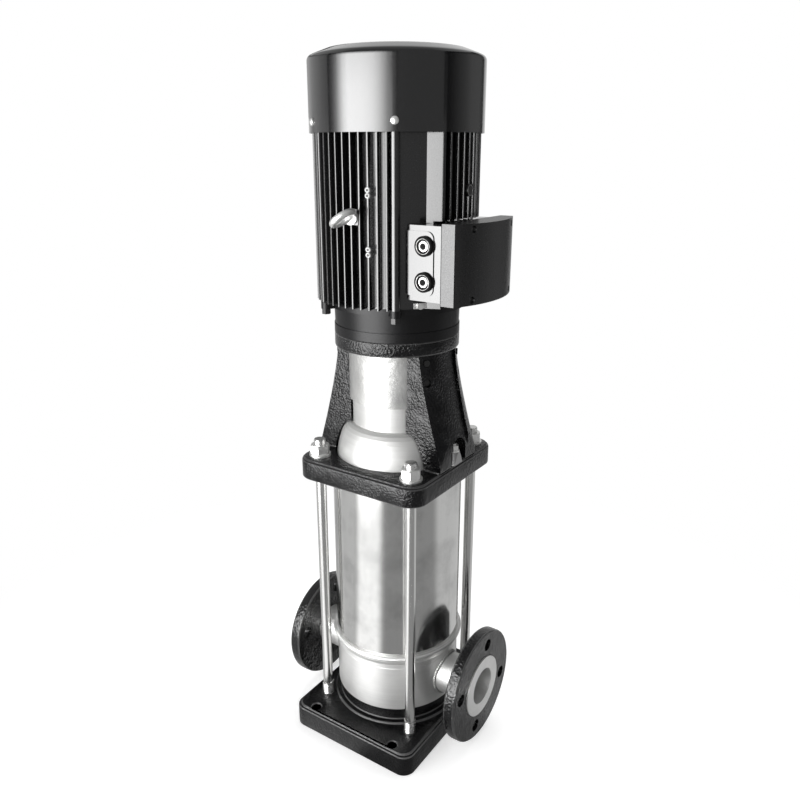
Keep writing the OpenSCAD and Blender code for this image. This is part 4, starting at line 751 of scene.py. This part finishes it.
def glow_arc(name, profile, distance, low, high, strength):
    """A curved lit screen as shiny surfaces see it. The profile is its glow at each angle round the pump.

    The glow fades out over the top part. It lights nothing else and the camera can't see it.
    """
    work = bmesh.new()
    glow = work.verts.layers.float.new("glow")
    heights = ((low, 1.0), (low + 0.6 * (high - low), 1.0), (high, 0.0))
    columns = []
    for azimuth, tone in profile:
        angle = math.radians(azimuth)
        column = []
        for height, fade in heights:
            vert = work.verts.new((distance * math.cos(angle), distance * math.sin(angle), height))
            vert[glow] = tone * fade
            column.append(vert)
        columns.append(column)
    for left, right in zip(columns, columns[1:]):
        for k in range(len(heights) - 1):
            work.faces.new((left[k], left[k + 1], right[k + 1], right[k]))
    screen = new_piece(work, name)
    material = bpy.data.materials.new(name)
    material.use_nodes = True
    tree = material.node_tree
    tree.nodes.remove(tree.nodes["Principled BSDF"])
    tone = add(tree, "ShaderNodeAttribute", set_attribute_name="glow")
    light = add(tree, "ShaderNodeEmission", Color=WHITE)
    tree.links.new(math_node(tree, "MULTIPLY", tone.outputs["Fac"], strength), light.inputs["Strength"])
    tree.links.new(light.outputs[0], tree.nodes["Material Output"].inputs["Surface"])
    screen.data.materials.append(material)
    screen.visible_camera = screen.visible_diffuse = screen.visible_transmission = screen.visible_shadow = False


def softbox(name, azimuth, distance, height, width, tall, power):
    """A rectangular lamp at an angle round the pump, measured from the discharge port, that points at its middle."""
    light = bpy.data.lights.new(name, "AREA")
    light.shape = "RECTANGLE"
    light.size = width
    light.size_y = tall
    light.energy = power
    lamp = bpy.data.objects.new(name, light)
    angle = math.radians(azimuth)
    lamp.location = (distance * math.cos(angle), distance * math.sin(angle), height)
    direction = Vector((0, 0, 0.5)) - lamp.location
    lamp.rotation_euler = direction.to_track_quat("-Z", "Y").to_euler()
    lamp.visible_glossy = False
    bpy.context.scene.collection.objects.link(lamp)


def build_camera():
    """The photograph's camera, as solved from the flange, the base plate and the upright axis."""
    image_width, focal_length = 800, 760.63
    camera = bpy.data.cameras.new("photo_camera")
    camera.sensor_width = 36
    camera.lens = focal_length * camera.sensor_width / image_width
    camera.clip_start = 0.01
    view = bpy.data.objects.new("photo_camera", camera)
    view.location = (0.56800, -0.83265, 0.83753)
    view.rotation_euler = (math.radians(90 - 18.29), 0, math.radians(34.08))
    bpy.context.scene.collection.objects.link(view)
    bpy.context.scene.camera = view


build_floor()
build_world()
softbox("large_softbox", azimuth=-108, distance=2.3, height=1.1, width=2.1, tall=2.4, power=36)
softbox("side_softbox", azimuth=40, distance=2.6, height=1.0, width=1.7, tall=2.2, power=16)
softbox("top_softbox", azimuth=100, distance=1.6, height=2.6, width=2.0, tall=2.0, power=26)
glow_arc("large_screen", ((-150, 0), (-142, 0.05), (-136, 0.16), (-131, 0.4), (-125, 0.76), (-118, 1), (-100, 1),
                          (-92, 0.95), (-85, 0.86), (-78, 0.68), (-72, 0.45), (-66, 0.22), (-60, 0.07), (-54, 0)),
         distance=2.2, low=0.0, high=1.75, strength=11.0)
glow_arc("side_screen", ((8, 0), (28, 0.6), (50, 1), (72, 0.6), (88, 0)),
         distance=2.2, low=0.0, high=2.4, strength=0.3)
# These two are seen by the cowl alone.
glow_arc("high_side_screen", ((4, 0), (20, 0.6), (35, 1), (50, 0.7), (68, 0)),
         distance=2.3, low=0.95, high=1.6, strength=1.2)
glow_arc("high_far_screen", ((-236, 0), (-212, 0.8), (-170, 1), (-152, 0.8), (-134, 0)),
         distance=2.3, low=0.95, high=1.6, strength=0.6)
build_camera()
bpy.context.scene.view_settings.view_transform = "Standard"
